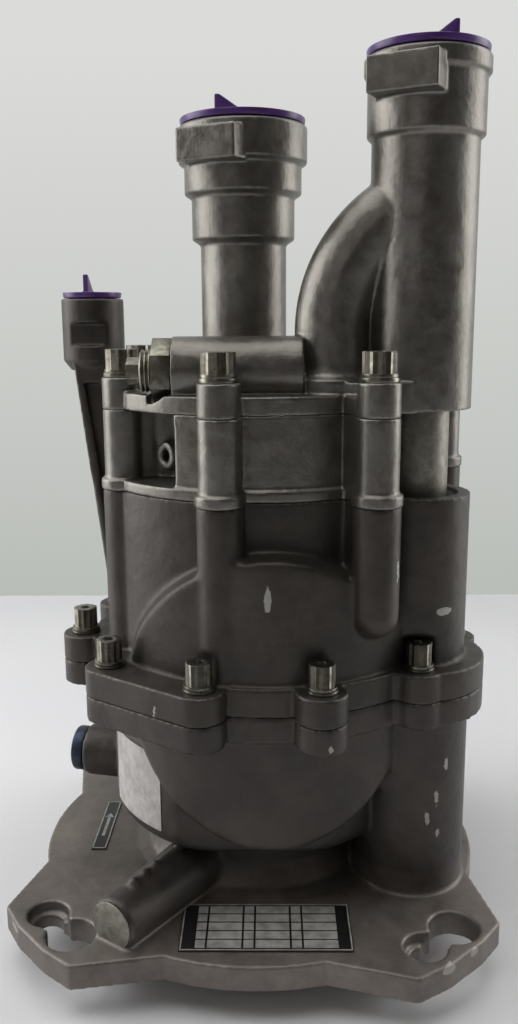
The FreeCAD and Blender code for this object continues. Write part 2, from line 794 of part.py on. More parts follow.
def suction_port():
    return revolved("suction_port", [
        ("0", BLOCK_TOP),
        ("suction_tube + 3", BLOCK_TOP),
        ("suction_tube + 3", f"{BLOCK_TOP} + plate_thick"),
        ("suction_tube", f"{BLOCK_TOP} + plate_thick + 4"),
        ("suction_tube", "suction_step_low - 2"),
        ("suction_step", "suction_step_low"),
        ("suction_step", "suction_collar_low - 1.5"),
        ("suction_collar", "suction_collar_low"),
        ("suction_collar", "suction_rim_low - 1"),
        ("suction_rim", "suction_rim_low"),
        ("suction_rim", "suction_top - 0.8"),
        ("suction_rim - 0.8", "suction_top"),
        ("0", "suction_top"),
    ], "suction_x", "suction_y")


def outlet_port():
    return revolved("outlet_port", [
        ("0", f"{BLOCK_TOP} + 0.5"),
        ("outlet_tube", f"{BLOCK_TOP} + 0.5"),
        ("outlet_tube", "outlet_collar_low - 1.5"),
        ("outlet_collar", "outlet_collar_low"),
        ("outlet_collar", "outlet_rim_low - 1"),
        ("outlet_rim", "outlet_rim_low"),
        ("outlet_rim", "outlet_top - 0.8"),
        ("outlet_rim - 0.8", "outlet_top"),
        ("0", "outlet_top"),
    ], "passage_x", "passage_y")


def elbow():
    """Bent passage from the cap's plate into the side of the outlet."""
    riser = cylinder("elbow_riser", "elbow_radius", f"elbow_rise - {BLOCK_TOP}",
                     "elbow_x", "passage_y", BLOCK_TOP)
    bend = doc.addObject("Part::Torus", "elbow_bend")
    bind(bend, Radius1="elbow_bend", Radius2="elbow_radius")
    bend.Angle3 = 90
    quarter = FreeCAD.Rotation(
        FreeCAD.Vector(-1, 0, 0), FreeCAD.Vector(0, 0, 1), FreeCAD.Vector(0, 1, 0), "XYZ"
    )
    place(bend, "elbow_x + elbow_bend", "passage_y", "elbow_rise", quarter)
    trim = box("elbow_trim", "passage_x - elbow_x + elbow_radius", "2 * outlet_tube",
               "elbow_bend + 2 * elbow_radius",
               "elbow_x - elbow_radius", "passage_y - outlet_tube", "elbow_rise")
    foot = revolved("elbow_foot", [
        ("0", BLOCK_TOP),
        ("elbow_radius + elbow_foot_out", BLOCK_TOP),
        ("elbow_radius + elbow_foot_out", f"{BOSS_TOP} - 0.5"),
        ("elbow_radius + elbow_foot_out * 0.3", f"{BOSS_TOP} + elbow_foot_out * 0.3"),
        ("elbow_radius", f"{BOSS_TOP} + elbow_foot_out"),
        ("0", f"{BOSS_TOP} + elbow_foot_out"),
    ], "elbow_x", "passage_y")
    return [riser, common("elbow_turn", [bend, trim]), foot]


def wrench_lug(name, x, y, reach, top):
    """Flat lug on a port's rim, square to the lug angle."""
    across = f"{x} + lug_width / 2 * sin(lug_angle)"
    along = f"{y} - lug_width / 2 * cos(lug_angle)"
    return box(name, f"{reach} + lug_out", "lug_width", "lug_height", across, along,
               f"{top} - lug_height - lug_drop", turn(SIZES["lug_angle"]))


def port_cap():
    """Top casting: plate, bolt bosses, suction and outlet ports and the compensator barrel."""
    pieces = [
        cylinder("cap_plate", "block_radius", "plate_thick", "body_x", "body_y", BLOCK_TOP),
        cylinder("cap_shelf", "outlet_tube + 6", "boss_height - 1", "passage_x - 14", "passage_y + 4",
                 BLOCK_TOP),
        suction_port(),
        outlet_port(),
        wrench_lug("suction_lug", "suction_x", "suction_y", "suction_rim", "suction_top"),
        wrench_lug("outlet_lug", "passage_x", "passage_y", "outlet_rim", "outlet_top"),
        cylinder("comp_barrel", "comp_radius", "comp_right - comp_left",
                 "comp_left", "comp_y", "comp_height", ALONG_X),
        box("comp_saddle", "comp_right - comp_left", "1.5 * comp_radius", f"comp_height - {BLOCK_TOP}",
            "comp_left", "comp_y - 0.75 * comp_radius", BLOCK_TOP),
    ] + elbow()
    for i in DECK_STATIONS:
        x, y = deck_station(i)
        pieces.append(cylinder(f"cap_boss_{i}", "boss_radius", "boss_height", x, y, BLOCK_TOP))
        pieces.append(column_web(f"cap_web_{i}", i, BLOCK_TOP, "plate_thick"))
    tools = [
        cylinder("suction_mouth_bore", "suction_mouth", "suction_mouth_depth + 1",
                 "suction_x", "suction_y", "suction_top - suction_mouth_depth"),
        cylinder("suction_bore_cut", "suction_bore", "suction_top",
                 "suction_x", "suction_y", f"{BLOCK_TOP} - 1"),
        cylinder("outlet_mouth_bore", "outlet_mouth", "outlet_mouth_depth + 1",
                 "passage_x", "passage_y", "outlet_top - outlet_mouth_depth"),
        cylinder("outlet_bore_cut", "outlet_bore", "outlet_top - elbow_rise",
                 "passage_x", "passage_y", "elbow_rise"),
        cylinder("tube_socket_high", "tube_radius + running_fit", "tube_socket",
                 "passage_x", "passage_y", BLOCK_TOP),
        cylinder("outlet_link", "tube_radius - tube_wall", f"elbow_rise + 1 - {BLOCK_TOP}",
                 "passage_x", "passage_y", BLOCK_TOP),
        cylinder("comp_bore_cut", "comp_bore", "comp_bore_depth",
                 "comp_left - 1", "comp_y", "comp_height", ALONG_X),
        cylinder("nut_room", "nut_radius + 1", "nut_thick + 2",
                 "comp_left - nut_thick - 2", "comp_y", "comp_height", ALONG_X),
    ]
    for i in DECK_STATIONS:
        x, y = deck_station(i)
        tools.append(cylinder(f"cap_hole_{i}", "bolt_radius + bolt_clearance", "2 * boss_height",
                              x, y, f"{BLOCK_TOP} - 1"))
        tools.append(cylinder(f"cap_head_room_{i}", "washer_radius + 0.5", "4 * boss_height",
                              x, y, BOSS_TOP))
    return cut("port_cap", fuse("cap_casting", pieces), tools)


def transfer_tube():
    """Plain tube between the cap's outlet and the case's passage, in a socket at each end."""
    return ring("transfer_tube", "tube_radius - tube_wall", "tube_radius",
                "deck_height - tube_socket", f"{BLOCK_TOP} + tube_socket - seat_gap",
                "passage_x", "passage_y")


def bolt_head(name, radius, height, x, y, z):
    """Double-hexagon head: two hexagonal prisms, one turned by half a side."""
    return [
        prism(f"{name}_hex", 6, radius, height, x, y, z),
        prism(f"{name}_hex_turned", 6, radius, height, x, y, z, turn(30)),
    ]


def set_of_bolts(name, stations, station, shank, head, height, collar, seat, depth):
    """Identical bolts: a shank, a round collar and a drilled double-hexagon head each."""
    bolts = []
    for i in stations:
        x, y = station(i)
        drilled = cylinder(f"{name}_{i}_drilled", f"{head} * 0.36", height,
                           x, y, f"{seat} + 1 + {height} / 2")
        pieces = bolt_head(f"{name}_{i}", head, height, x, y, f"{seat} + 1")
        pieces.append(cylinder(f"{name}_{i}_collar", collar, "1.2", x, y, seat))
        pieces.append(cylinder(f"{name}_{i}_shank", shank, f"{seat} + 2 - ({depth})", x, y, depth))
        bolts.append(cut(f"{name}_{i}", fuse(f"{name}_{i}_solid", pieces), [drilled]))
    return group(name, bolts)


def set_of_washers(name, stations, station, shank, radius, thick, seat):
    washers = []
    for i in stations:
        x, y = station(i)
        disc = cylinder(f"{name}_{i}_disc", radius, thick, x, y, seat)
        hole = cylinder(f"{name}_{i}_hole", f"{shank} + bolt_clearance", f"3 * {thick}",
                        x, y, f"{seat} - {thick}")
        washers.append(cut(f"{name}_{i}", disc, [hole]))
    return group(name, washers)


def port_cover(name, x, y, rim, mouth, top, fin_turn):
    """Push-in transit cover of a port: disc, plug and a triangular pull fin."""
    disc = revolved(f"{name}_disc", [
        ("0", f"{top} - 9"),
        (f"{mouth} - seat_gap - 1", f"{top} - 9"),
        (f"{mouth} - seat_gap", f"{top} + seat_gap"),
        (f"{rim} - 1", f"{top} + seat_gap"),
        (f"{rim} - 0.6", f"{top} + 2.6"),
        ("0", f"{top} + 3"),
    ], x, y)
    fin = padded(f"{name}_fin", "XZ_Plane", [
        (f"-{rim} * 0.41", f"{top} + 2"),
        (f"{rim} * 0.16", f"{top} + 2"),
        (f"-{rim} * 0.34", f"{top} + 9.6"),
        (f"-{rim} * 0.41", f"{top} + 9.6"),
    ], "2.2", 0, 0, 0, True)
    place(fin, x, f"{y} - {rim} * 0.35", 0, turn(fin_turn))
    return fuse(name, [disc, fin])


def drive_shaft():
    """Shaft with its journal and the drive spline that the engine's coupling turns."""
    turned = revolved("shaft_round", [
        ("0", "shaft_low"),
        ("journal_radius - spline_depth - 0.8", "shaft_low"),
        ("journal_radius - spline_depth", "shaft_low + 1"),
        ("journal_radius - spline_depth", "journal_low"),
        ("journal_radius", "journal_low"),
        ("journal_radius", "journal_high"),
        ("shaft_radius", "journal_high + 1"),
        ("shaft_radius", "shaft_top - 14"),
        ("shaft_radius - 2", "shaft_top - 13"),
        ("shaft_radius - 2", "shaft_top - 1"),
        ("shaft_radius - 3", "shaft_top"),
        ("0", "shaft_top"),
    ])
    teeth = []
    for i in range(SIZES["spline_teeth"]):
        angle = 360 * i / SIZES["spline_teeth"]
        teeth.append(box(
            f"spline_tooth_{i}", "journal_radius", "spline_tooth", "journal_low - shaft_low - 2",
            f"spline_tooth / 2 * sin({angle})", f"-spline_tooth / 2 * cos({angle})", "shaft_low + 1",
            turn(angle),
        ))
    return fuse("drive_shaft", [turned] + teeth)


def bearing_rollers():
    """Rollers of the front bearing, each with a little room between the races."""
    rollers = []
    middle = "(journal_radius + bearing_outer) / 2"
    for i in range(SIZES["bearing_rollers"]):
        x, y = around(middle, "0", i, "bearing_rollers", "0", "0")
        rollers.append(cylinder(
            f"roller_{i}", "(bearing_outer - journal_radius) / 2 - race_thick - running_fit",
            "bearing_width - 3", x, y, "bearing_low + 1.5",
        ))
    return group("front_bearing_rollers", rollers)


def piston_place(index):
    return around("piston_circle", "0", index, "piston_count", "0", "0")


def cylinder_block():
    """Rotating barrel with a bore for each piston and a feed hole at each bore's end."""
    blank = ring("barrel_blank", "shaft_radius + seat_gap", "barrel_radius", "barrel_low", "barrel_top")
    bores = []
    for i in PISTONS:
        x, y = piston_place(i)
        bores.append(cylinder(f"barrel_bore_{i}", "piston_radius + running_fit",
                              "bore_top - barrel_low + 1", x, y, "barrel_low - 1"))
        bores.append(cylinder(f"barrel_feed_{i}", "kidney_half_width", "barrel_top", x, y, "bore_top - 1"))
    return cut("cylinder_block", blank, bores)


def piston(index):
    """Piston with a waisted neck, at the top of its stroke."""
    x, y = piston_place(index)
    corners = [
        ("0", "slipper_low + slipper_height + seat_gap"),
        ("piston_neck", "slipper_low + slipper_height + seat_gap"),
        ("piston_neck", "slipper_low + slipper_height + piston_travel"),
        ("piston_radius", "slipper_low + slipper_height + piston_travel + 1.2"),
        ("piston_radius", "piston_top - 1"),
        ("piston_radius - 1", "piston_top"),
        ("0", "piston_top"),
    ]
    return revolved(f"piston_{index + 1}", corners, x, y)


def slipper(index):
    """Shoe on a piston's end, with a wide running face and a neck through the retainer."""
    x, y = piston_place(index)
    corners = [
        ("0", "slipper_low"),
        ("slipper_radius", "slipper_low"),
        ("slipper_radius", "slipper_low + slipper_flange"),
        ("slipper_neck", "slipper_low + slipper_flange + seat_gap"),
        ("slipper_neck", "slipper_low + slipper_height"),
        ("0", "slipper_low + slipper_height"),
    ]
    return revolved(f"slipper_{index + 1}", corners, x, y)


def retainer_plate():
    """Plate that holds the shoes' flanges, with a hole for each neck."""
    low = "(slipper_low + slipper_flange + 1)"
    blank = ring("retainer_blank", "guide_outer + seat_gap", "retainer_outer",
                 low, f"{low} + retainer_thick")
    holes = []
    for i in PISTONS:
        x, y = piston_place(i)
        holes.append(cylinder(f"retainer_hole_{i}", "slipper_neck + seat_gap", "3 * retainer_thick",
                              x, y, f"{low} - retainer_thick"))
    return cut("retainer_plate", blank, holes)


def hanger():
    """Tilting yoke: half-round back, two trunnions and an arm each for control and return."""
    half_round = cylinder("hanger_round", "hanger_radius", "2 * hanger_half_width",
                          0, "-hanger_half_width", "split_height", ALONG_Y)
    core = padded("hanger_core", "XZ_Plane", [
        ("-hanger_foot", "split_height - hanger_radius"),
        ("hanger_foot", "split_height - hanger_radius"),
        ("hanger_half_length", "arm_bottom"),
        ("hanger_half_length", "split_height - wear_plate_thick"),
        ("-hanger_half_length", "split_height - wear_plate_thick"),
        ("-hanger_half_length", "arm_bottom"),
    ], "2 * hanger_half_width", 0, 0, 0, True)
    back = common("hanger_back", [half_round, core])
    arms = box("hanger_arms", "2 * arm_reach", "14", "arm_top - arm_bottom",
               "-arm_reach", "-7", "arm_bottom")
    pins = cylinder("hanger_pins", "trunnion_radius", "2 * trunnion_reach",
                    0, "-trunnion_reach", "split_height", ALONG_Y)
    cheeks = [
        box(f"hanger_cheek_{side}", "24", "4.5", "hanger_radius / 2 + 9",
            "-12", y, "split_height - hanger_radius / 2")
        for side, y in (("front", "-wear_plate_radius - 5.2"), ("back", "wear_plate_radius + 0.7"))
    ]
    solid = fuse("hanger_solid", [back, arms, pins] + cheeks
                 + [box("hanger_bridge", "24", "2 * wear_plate_radius + 10.4", "8",
                        "-12", "-wear_plate_radius - 5.2", "split_height - hanger_radius / 2")])
    shaft_room = revolved("hanger_shaft_room", [
        ("0", "split_height - hanger_radius - 1"),
        ("shaft_radius + 13", "split_height - hanger_radius - 1"),
        ("shaft_radius + 2.6", "split_height"),
        ("0", "split_height"),
    ])
    face_room = cylinder("hanger_face_room", "wear_plate_radius + seat_gap", "30",
                         0, 0, "split_height - wear_plate_thick")
    return cut("hanger", solid, [shaft_room, face_room])


def control_piston(name, side):
    """Round-ended piston that bears on one of the hanger's arms."""
    end = "(arm_bottom - seat_gap)"
    return revolved(name, [
        ("0", "control_low"),
        ("control_radius", "control_low"),
        ("control_radius", f"{end} - control_radius"),
        ("control_radius * 0.92", f"{end} - control_radius * 0.6"),
        ("control_radius * 0.7", f"{end} - control_radius * 0.28"),
        ("control_radius * 0.38", f"{end} - control_radius * 0.08"),
        ("0", end),
    ], f"{side}arm_place", 0)


def valve_plate():
    """Plate with a suction and a delivery kidney, pinned to the port block."""
    low = "(deck_height - valve_plate_thick)"
    blank = ring("valve_plate_blank", "shaft_radius + 1", "valve_plate_radius", low, "deck_height")
    tools = []
    for side, start in (("suction", 20), ("delivery", 200)):
        sweep = ring(f"{side}_kidney_ring", "piston_circle - kidney_half_width",
                     "piston_circle + kidney_half_width", f"{low} - 1", "deck_height + 1")
        wedge = doc.addObject("Part::Cylinder", f"{side}_kidney_wedge")
        bind(wedge, Radius="valve_plate_radius", Height="deck_height")
        wedge.Angle = 140
        place(wedge, 0, 0, 0, turn(start))
        tools.append(common(f"{side}_kidney", [sweep, wedge]))
    return cut("valve_plate", blank, tools)


def compensator():
    """Lock nut, adjusting screw, spring seat, spring and spool along the barrel's axis."""
    nut = prism("nut_hex", 6, "nut_radius", "nut_thick",
                "comp_left - nut_thick - seat_gap", "comp_y", "comp_height", ALONG_X)
    nut_hole = cylinder("nut_hole", "screw_radius + seat_gap", "3 * nut_thick",
                        "comp_left - 2 * nut_thick", "comp_y", "comp_height", ALONG_X)
    lock_nut = cut("lock_nut", nut, [nut_hole])
    start = "(comp_left - nut_thick - screw_out + tip_length)"
    grooves = [("0", "0")]
    for i in range(SIZES["thread_turns"]):
        grooves.append(("screw_radius - thread_depth", f"{i} * thread_pitch"))
        grooves.append(("screw_radius", f"({i} + 0.5) * thread_pitch"))
    grooves.append(("screw_radius - thread_depth", "thread_turns * thread_pitch"))
    grooves.append(("screw_radius", "thread_turns * thread_pitch + thread_depth"))
    grooves.append(("screw_radius", f"comp_left + screw_in - {start}"))
    grooves.append(("0", f"comp_left + screw_in - {start}"))
    screw = revolved("screw_thread", grooves, start, "comp_y", "comp_height", ALONG_X)
    tip = prism("screw_tip", 6, "tip_radius", "tip_length + 1",
                f"{start} - tip_length", "comp_y", "comp_height", ALONG_X)
    adjusting_screw = fuse("adjusting_screw", [screw, tip])
    seat_left = "(comp_left + screw_in + seat_gap)"
    seat = cylinder("spring_seat", "comp_bore - running_fit", "seat_thick",
                    seat_left, "comp_y", "comp_height", ALONG_X)
    spool_left = "(comp_left + comp_bore_depth - spool_length - 4)"
    spring = disc_springs("compensator_spring", 5, "3", "comp_bore - 0.6",
                          f"{seat_left} + seat_thick + seat_gap", f"{spool_left} - seat_gap",
                          "comp_y", "comp_height", ALONG_X)
    spool = cylinder("compensator_spool", "comp_bore - running_fit", "spool_length",
                     spool_left, "comp_y", "comp_height", ALONG_X)
    return [lock_nut, adjusting_screw, seat, spring, spool]


def disc_springs(name, count, inner, outer, low, high, y, z, rotation):
    """A stack of coned washers from one height to another, each turned over from the last."""
    pitch = f"(({high}) - ({low})) / {count}"
    rise = f"({pitch} - washer_spring - running_fit)"
    discs = []
    for i in range(count):
        inside, outside = ("0", rise) if i % 2 else (rise, "0")
        corners = [(inner, inside), (outer, outside),
                   (outer, f"{outside} + washer_spring"), (inner, f"{inside} + washer_spring")]
        start = f"{low} + {i} * {pitch}"
        if rotation is ALONG_X:
            discs.append(revolved(f"{name}_{i}", corners, start, y, z, rotation))
        else:
            discs.append(revolved(f"{name}_{i}", corners, y, z, start))
    return group(name, discs)


def plug_fitting():
    """Threaded plug with a hexagon head in the boss on the left of the drive housing."""
    rotation = turn(SIZES["plug_boss_angle"]).multiply(ALONG_X)
    reach = "(plug_boss_reach + seat_gap / 3)"
    head = cylinder("plug_head", "plug_hex", "plug_head",
                    f"{reach} * cos(plug_boss_angle)", f"{reach} * sin(plug_boss_angle)",
                    "plug_height", rotation)
    shank = cylinder("plug_shank", "plug_thread - running_fit", "12 + plug_head / 2",
                     "(plug_boss_reach - 12) * cos(plug_boss_angle)",
                     "(plug_boss_reach - 12) * sin(plug_boss_angle)",
                     "plug_height", rotation)
    return fuse("drain_plug", [head, shank])


def trunnion_bearings():
    """Plain bushes that carry the hanger's two pins."""
    bushes = []
    for side, y in (("front", "-trunnion_reach"), ("back", "trunnion_reach - trunnion_bearing_width")):
        outer = cylinder(f"bush_{side}_round", "trunnion_bearing", "trunnion_bearing_width",
                         0, y, "split_height", ALONG_Y)
        hole = cylinder(f"bush_{side}_hole", "trunnion_radius + running_fit", "3 * trunnion_bearing_width",
                        0, f"{y} - trunnion_bearing_width", "split_height", ALONG_Y)
        bushes.append(cut(f"bush_{side}", outer, [hole]))
    return group("trunnion_bushes", bushes)


def build_pump():
    """Every node of the assembly, by name."""
    inner_race = "(journal_radius + race_thick)"
    outer_race = "(bearing_outer - race_thick)"
    bearing_top = "(bearing_low + bearing_width)"
    seat = BOSS_TOP + " + washer_thick"
    rim_seat = f"{RIM_TOP} + rim_washer_thick"
    nodes = [
        drive_housing(),
        main_housing(),
        port_block(),
        port_cap(),
        transfer_tube(),
        set_of_bolts("cap_bolts", DECK_STATIONS, deck_station, "bolt_radius", "head_radius",
                     "head_height", "washer_radius - 0.4", seat, "deck_height - bolt_depth + 2"),
        set_of_washers("cap_washers", DECK_STATIONS, deck_station, "bolt_radius",
                       "washer_radius", "washer_thick", BOSS_TOP),
        set_of_bolts("rim_bolts", RIM_STATIONS, rim_station, "rim_bolt_radius", "rim_head_radius",
                     "rim_head_height", "rim_washer_radius - 0.3", rim_seat, RIM_LOW),
        set_of_washers("rim_washers", RIM_STATIONS, rim_station, "rim_bolt_radius",
                       "rim_washer_radius", "rim_washer_thick", RIM_TOP),
        port_cover("suction_cover", "suction_x", "suction_y", "suction_rim", "suction_mouth",
                   "suction_top", 0),
        port_cover("outlet_cover", "passage_x", "passage_y", "outlet_rim", "outlet_mouth",
                   "outlet_top", 180),
        port_cover("drain_cover", "drain_x", "drain_y", "drain_radius", "drain_bore",
                   "drain_top", 80),
        drive_shaft(),
        ring("shaft_seal", "journal_radius + running_fit", "seal_outer", "seal_low",
             "seal_low + seal_thick"),
        ring("front_bearing_outer", outer_race, "bearing_outer", "bearing_low", bearing_top),
        ring("front_bearing_inner", "journal_radius", inner_race, "bearing_low", bearing_top),
        bearing_rollers(),
        ring("rear_bearing", "shaft_radius - 2 + running_fit", "rear_bearing_outer",
             "rear_bearing_low", "rear_bearing_low + rear_bearing_width"),
        cylinder_block(),
        retainer_plate(),
        ring("retainer_guide", "shaft_radius", "guide_outer", "slipper_low + 2",
             "slipper_low + 8"),
        valve_plate(),
        hanger(),
        ring("wear_plate", "shaft_radius + 2.6", "wear_plate_radius",
             "split_height - wear_plate_thick", "split_height"),
        trunnion_bearings(),
        control_piston("control_piston", ""),
        control_piston("return_piston", "-"),
        plug_fitting(),
    ]
    nodes.append(disc_springs("hold_down_spring", 4, "shaft_radius + seat_gap", "guide_outer - 1",
                              "slipper_low + 8", "barrel_low", "0", "0", UPRIGHT))
    nodes.append(disc_springs("return_spring", 3, "2.2", "control_radius - seat_gap",
                              "control_well", "return_spring_top", "-arm_place", "0", UPRIGHT))
    nodes += [piston(i) for i in PISTONS]
    nodes += [slipper(i) for i in PISTONS]
    nodes += compensator()
    return nodes


def check_and_write(nodes):
    """Stop on a failed object or a bad shape, then write one file per node."""
    for item in doc.Objects:
        if "Invalid" in item.State or "Error" in item.State:
            raise RuntimeError(f"{item.Name} failed to build")
    for node in nodes:
        if node.Shape.isNull() or not node.Shape.isValid():
            raise RuntimeError(f"{node.Name} has no valid shape")
    os.makedirs("parts", exist_ok=True)
    for node in nodes:
        node.Label = node.Name
        node.Shape.exportStep(f"parts/{node.Name}.step")
        print(f"{node.Name}: {len(node.Shape.Solids)} solids, {node.Shape.Volume / 1000:.2f} cm3")


pump = build_pump()
doc.recompute()
check_and_write(pump)
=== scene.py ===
"""Hydraulic pump standing on its mounting pilot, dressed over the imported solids."""

import bpy
import json
import math
from mathutils import Matrix, Vector


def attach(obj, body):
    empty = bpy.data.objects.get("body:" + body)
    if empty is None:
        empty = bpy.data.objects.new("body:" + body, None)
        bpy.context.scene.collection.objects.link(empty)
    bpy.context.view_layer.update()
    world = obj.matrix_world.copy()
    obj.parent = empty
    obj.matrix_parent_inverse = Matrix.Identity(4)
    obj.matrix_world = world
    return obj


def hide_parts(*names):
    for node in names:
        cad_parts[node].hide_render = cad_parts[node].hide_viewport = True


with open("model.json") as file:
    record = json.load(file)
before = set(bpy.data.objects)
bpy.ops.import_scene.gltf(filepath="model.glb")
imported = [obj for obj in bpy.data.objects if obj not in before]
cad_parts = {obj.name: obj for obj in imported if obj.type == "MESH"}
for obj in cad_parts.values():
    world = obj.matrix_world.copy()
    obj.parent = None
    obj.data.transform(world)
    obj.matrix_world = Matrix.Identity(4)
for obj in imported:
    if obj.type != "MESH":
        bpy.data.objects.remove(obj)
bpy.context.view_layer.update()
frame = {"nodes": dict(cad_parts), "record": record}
nodes = frame["nodes"]

MM = 0.001
PHOTO_HEIGHT = 1024

# Where the photograph was taken from, in millimetres and degrees
CAMERA_PLACE = (4.5, -350.5, 223.5)
CAMERA_YAW = -0.62
CAMERA_PITCH = 11.56
CAMERA_ROLL = -0.33
FOCAL_PIXELS = 943.6

# Lengths in millimetres that the dressing shares with the solids
FLANGE_TOP = 20.0
DRUM_RADIUS = 56.0
STUB_ANGLE = math.radians(236)
STUB_REACH = 86.5
STUB_HEIGHT = 26.5
STUB_RADIUS = 9.2

# The most triangles a piece may keep, and how near two corners are merged, in metres
MOST_TRIANGLES = 180000
MERGE_DISTANCE = 0.000002

# The wall's distance behind the middle, in metres, its colours, and the millimetres they blend over: painted
# shade, darker at the wall's foot and paler at its top
WALL_BEHIND = 0.40
WALL_SHADED_FOOT = "#b9bdb8"
WALL_LIT_TOP = "#dbdbd9"
WALL_SHADE_HEIGHT = 420.0
# The room that the metal reflects, on the camera's side and on the wall's
DIM_ROOM = "#423529"
BRIGHT_ROOM = "#e4e8e5"
# What old grime does to a paint's colour
GRIME = "#b9b2aa"


def colour(code):
    """An sRGB hex value as linear red, green, blue and alpha."""
    channels = [int(code[i:i + 2], 16) / 255 for i in (1, 3, 5)]
    return [c / 12.92 if c <= 0.04045 else ((c + 0.055) / 1.055) ** 2.4 for c in channels] + [1.0]


def add_node(tree, kind, settings=None, links=None):
    """One shader node: settings by name or socket, a colour ramp's two stops, and inputs linked."""
    made = tree.nodes.new(kind)
    for key, value in (settings or {}).items():
        if key == "stops":
            for element, (position, shade) in zip(made.color_ramp.elements, value):
                element.position = position
                element.color = shade
        elif isinstance(key, str) and hasattr(made, key):
            setattr(made, key, value)
        else:
            made.inputs[key].default_value = value
    for key, (source, output) in (links or {}).items():
        tree.links.new(source.outputs[output], made.inputs[key])
    return made


def new_material(name):
    material = bpy.data.materials.new(name)
    material.use_nodes = True
    material.node_tree.nodes.clear()
    return material, material.node_tree


def millimetres(tree):
    """Object coordinates in millimetres."""
    coordinates = add_node(tree, "ShaderNodeTexCoord")
    return add_node(tree, "ShaderNodeMapping", {"Scale": (1000, 1000, 1000)},
                    {"Vector": (coordinates, "Object")})


def grey(level):
    return (level, level, level, 1)


BLACK = grey(0)
WHITE = grey(1)


def scuff_mask(tree, place, scuffs, ragged):
    """White inside a few worn spots, each a place, half its width and half its height in millimetres."""
    total = None
    for spot, wide, high in scuffs:
        offset = add_node(tree, "ShaderNodeVectorMath", {"operation": "SUBTRACT", 1: spot}, {0: (place, 0)})
        squeezed = add_node(tree, "ShaderNodeVectorMath",
                            {"operation": "MULTIPLY", 1: (1, 0.4, wide / high)},
                            {0: (offset, 0)})
        away = add_node(tree, "ShaderNodeVectorMath", {"operation": "LENGTH"}, {0: (squeezed, 0)})
        edge = add_node(tree, "ShaderNodeMath", {"operation": "MULTIPLY_ADD", 1: 2.4},
                        {0: (ragged, 0), 2: (away, "Value")})
        inside = add_node(tree, "ShaderNodeMath", {"operation": "LESS_THAN", 1: wide + 1.2}, {0: (edge, 0)})
        if total is None:
            total = inside
        else:
            total = add_node(tree, "ShaderNodeMath", {"operation": "MAXIMUM"},
                             {0: (total, 0), 1: (inside, 0)})
    return total


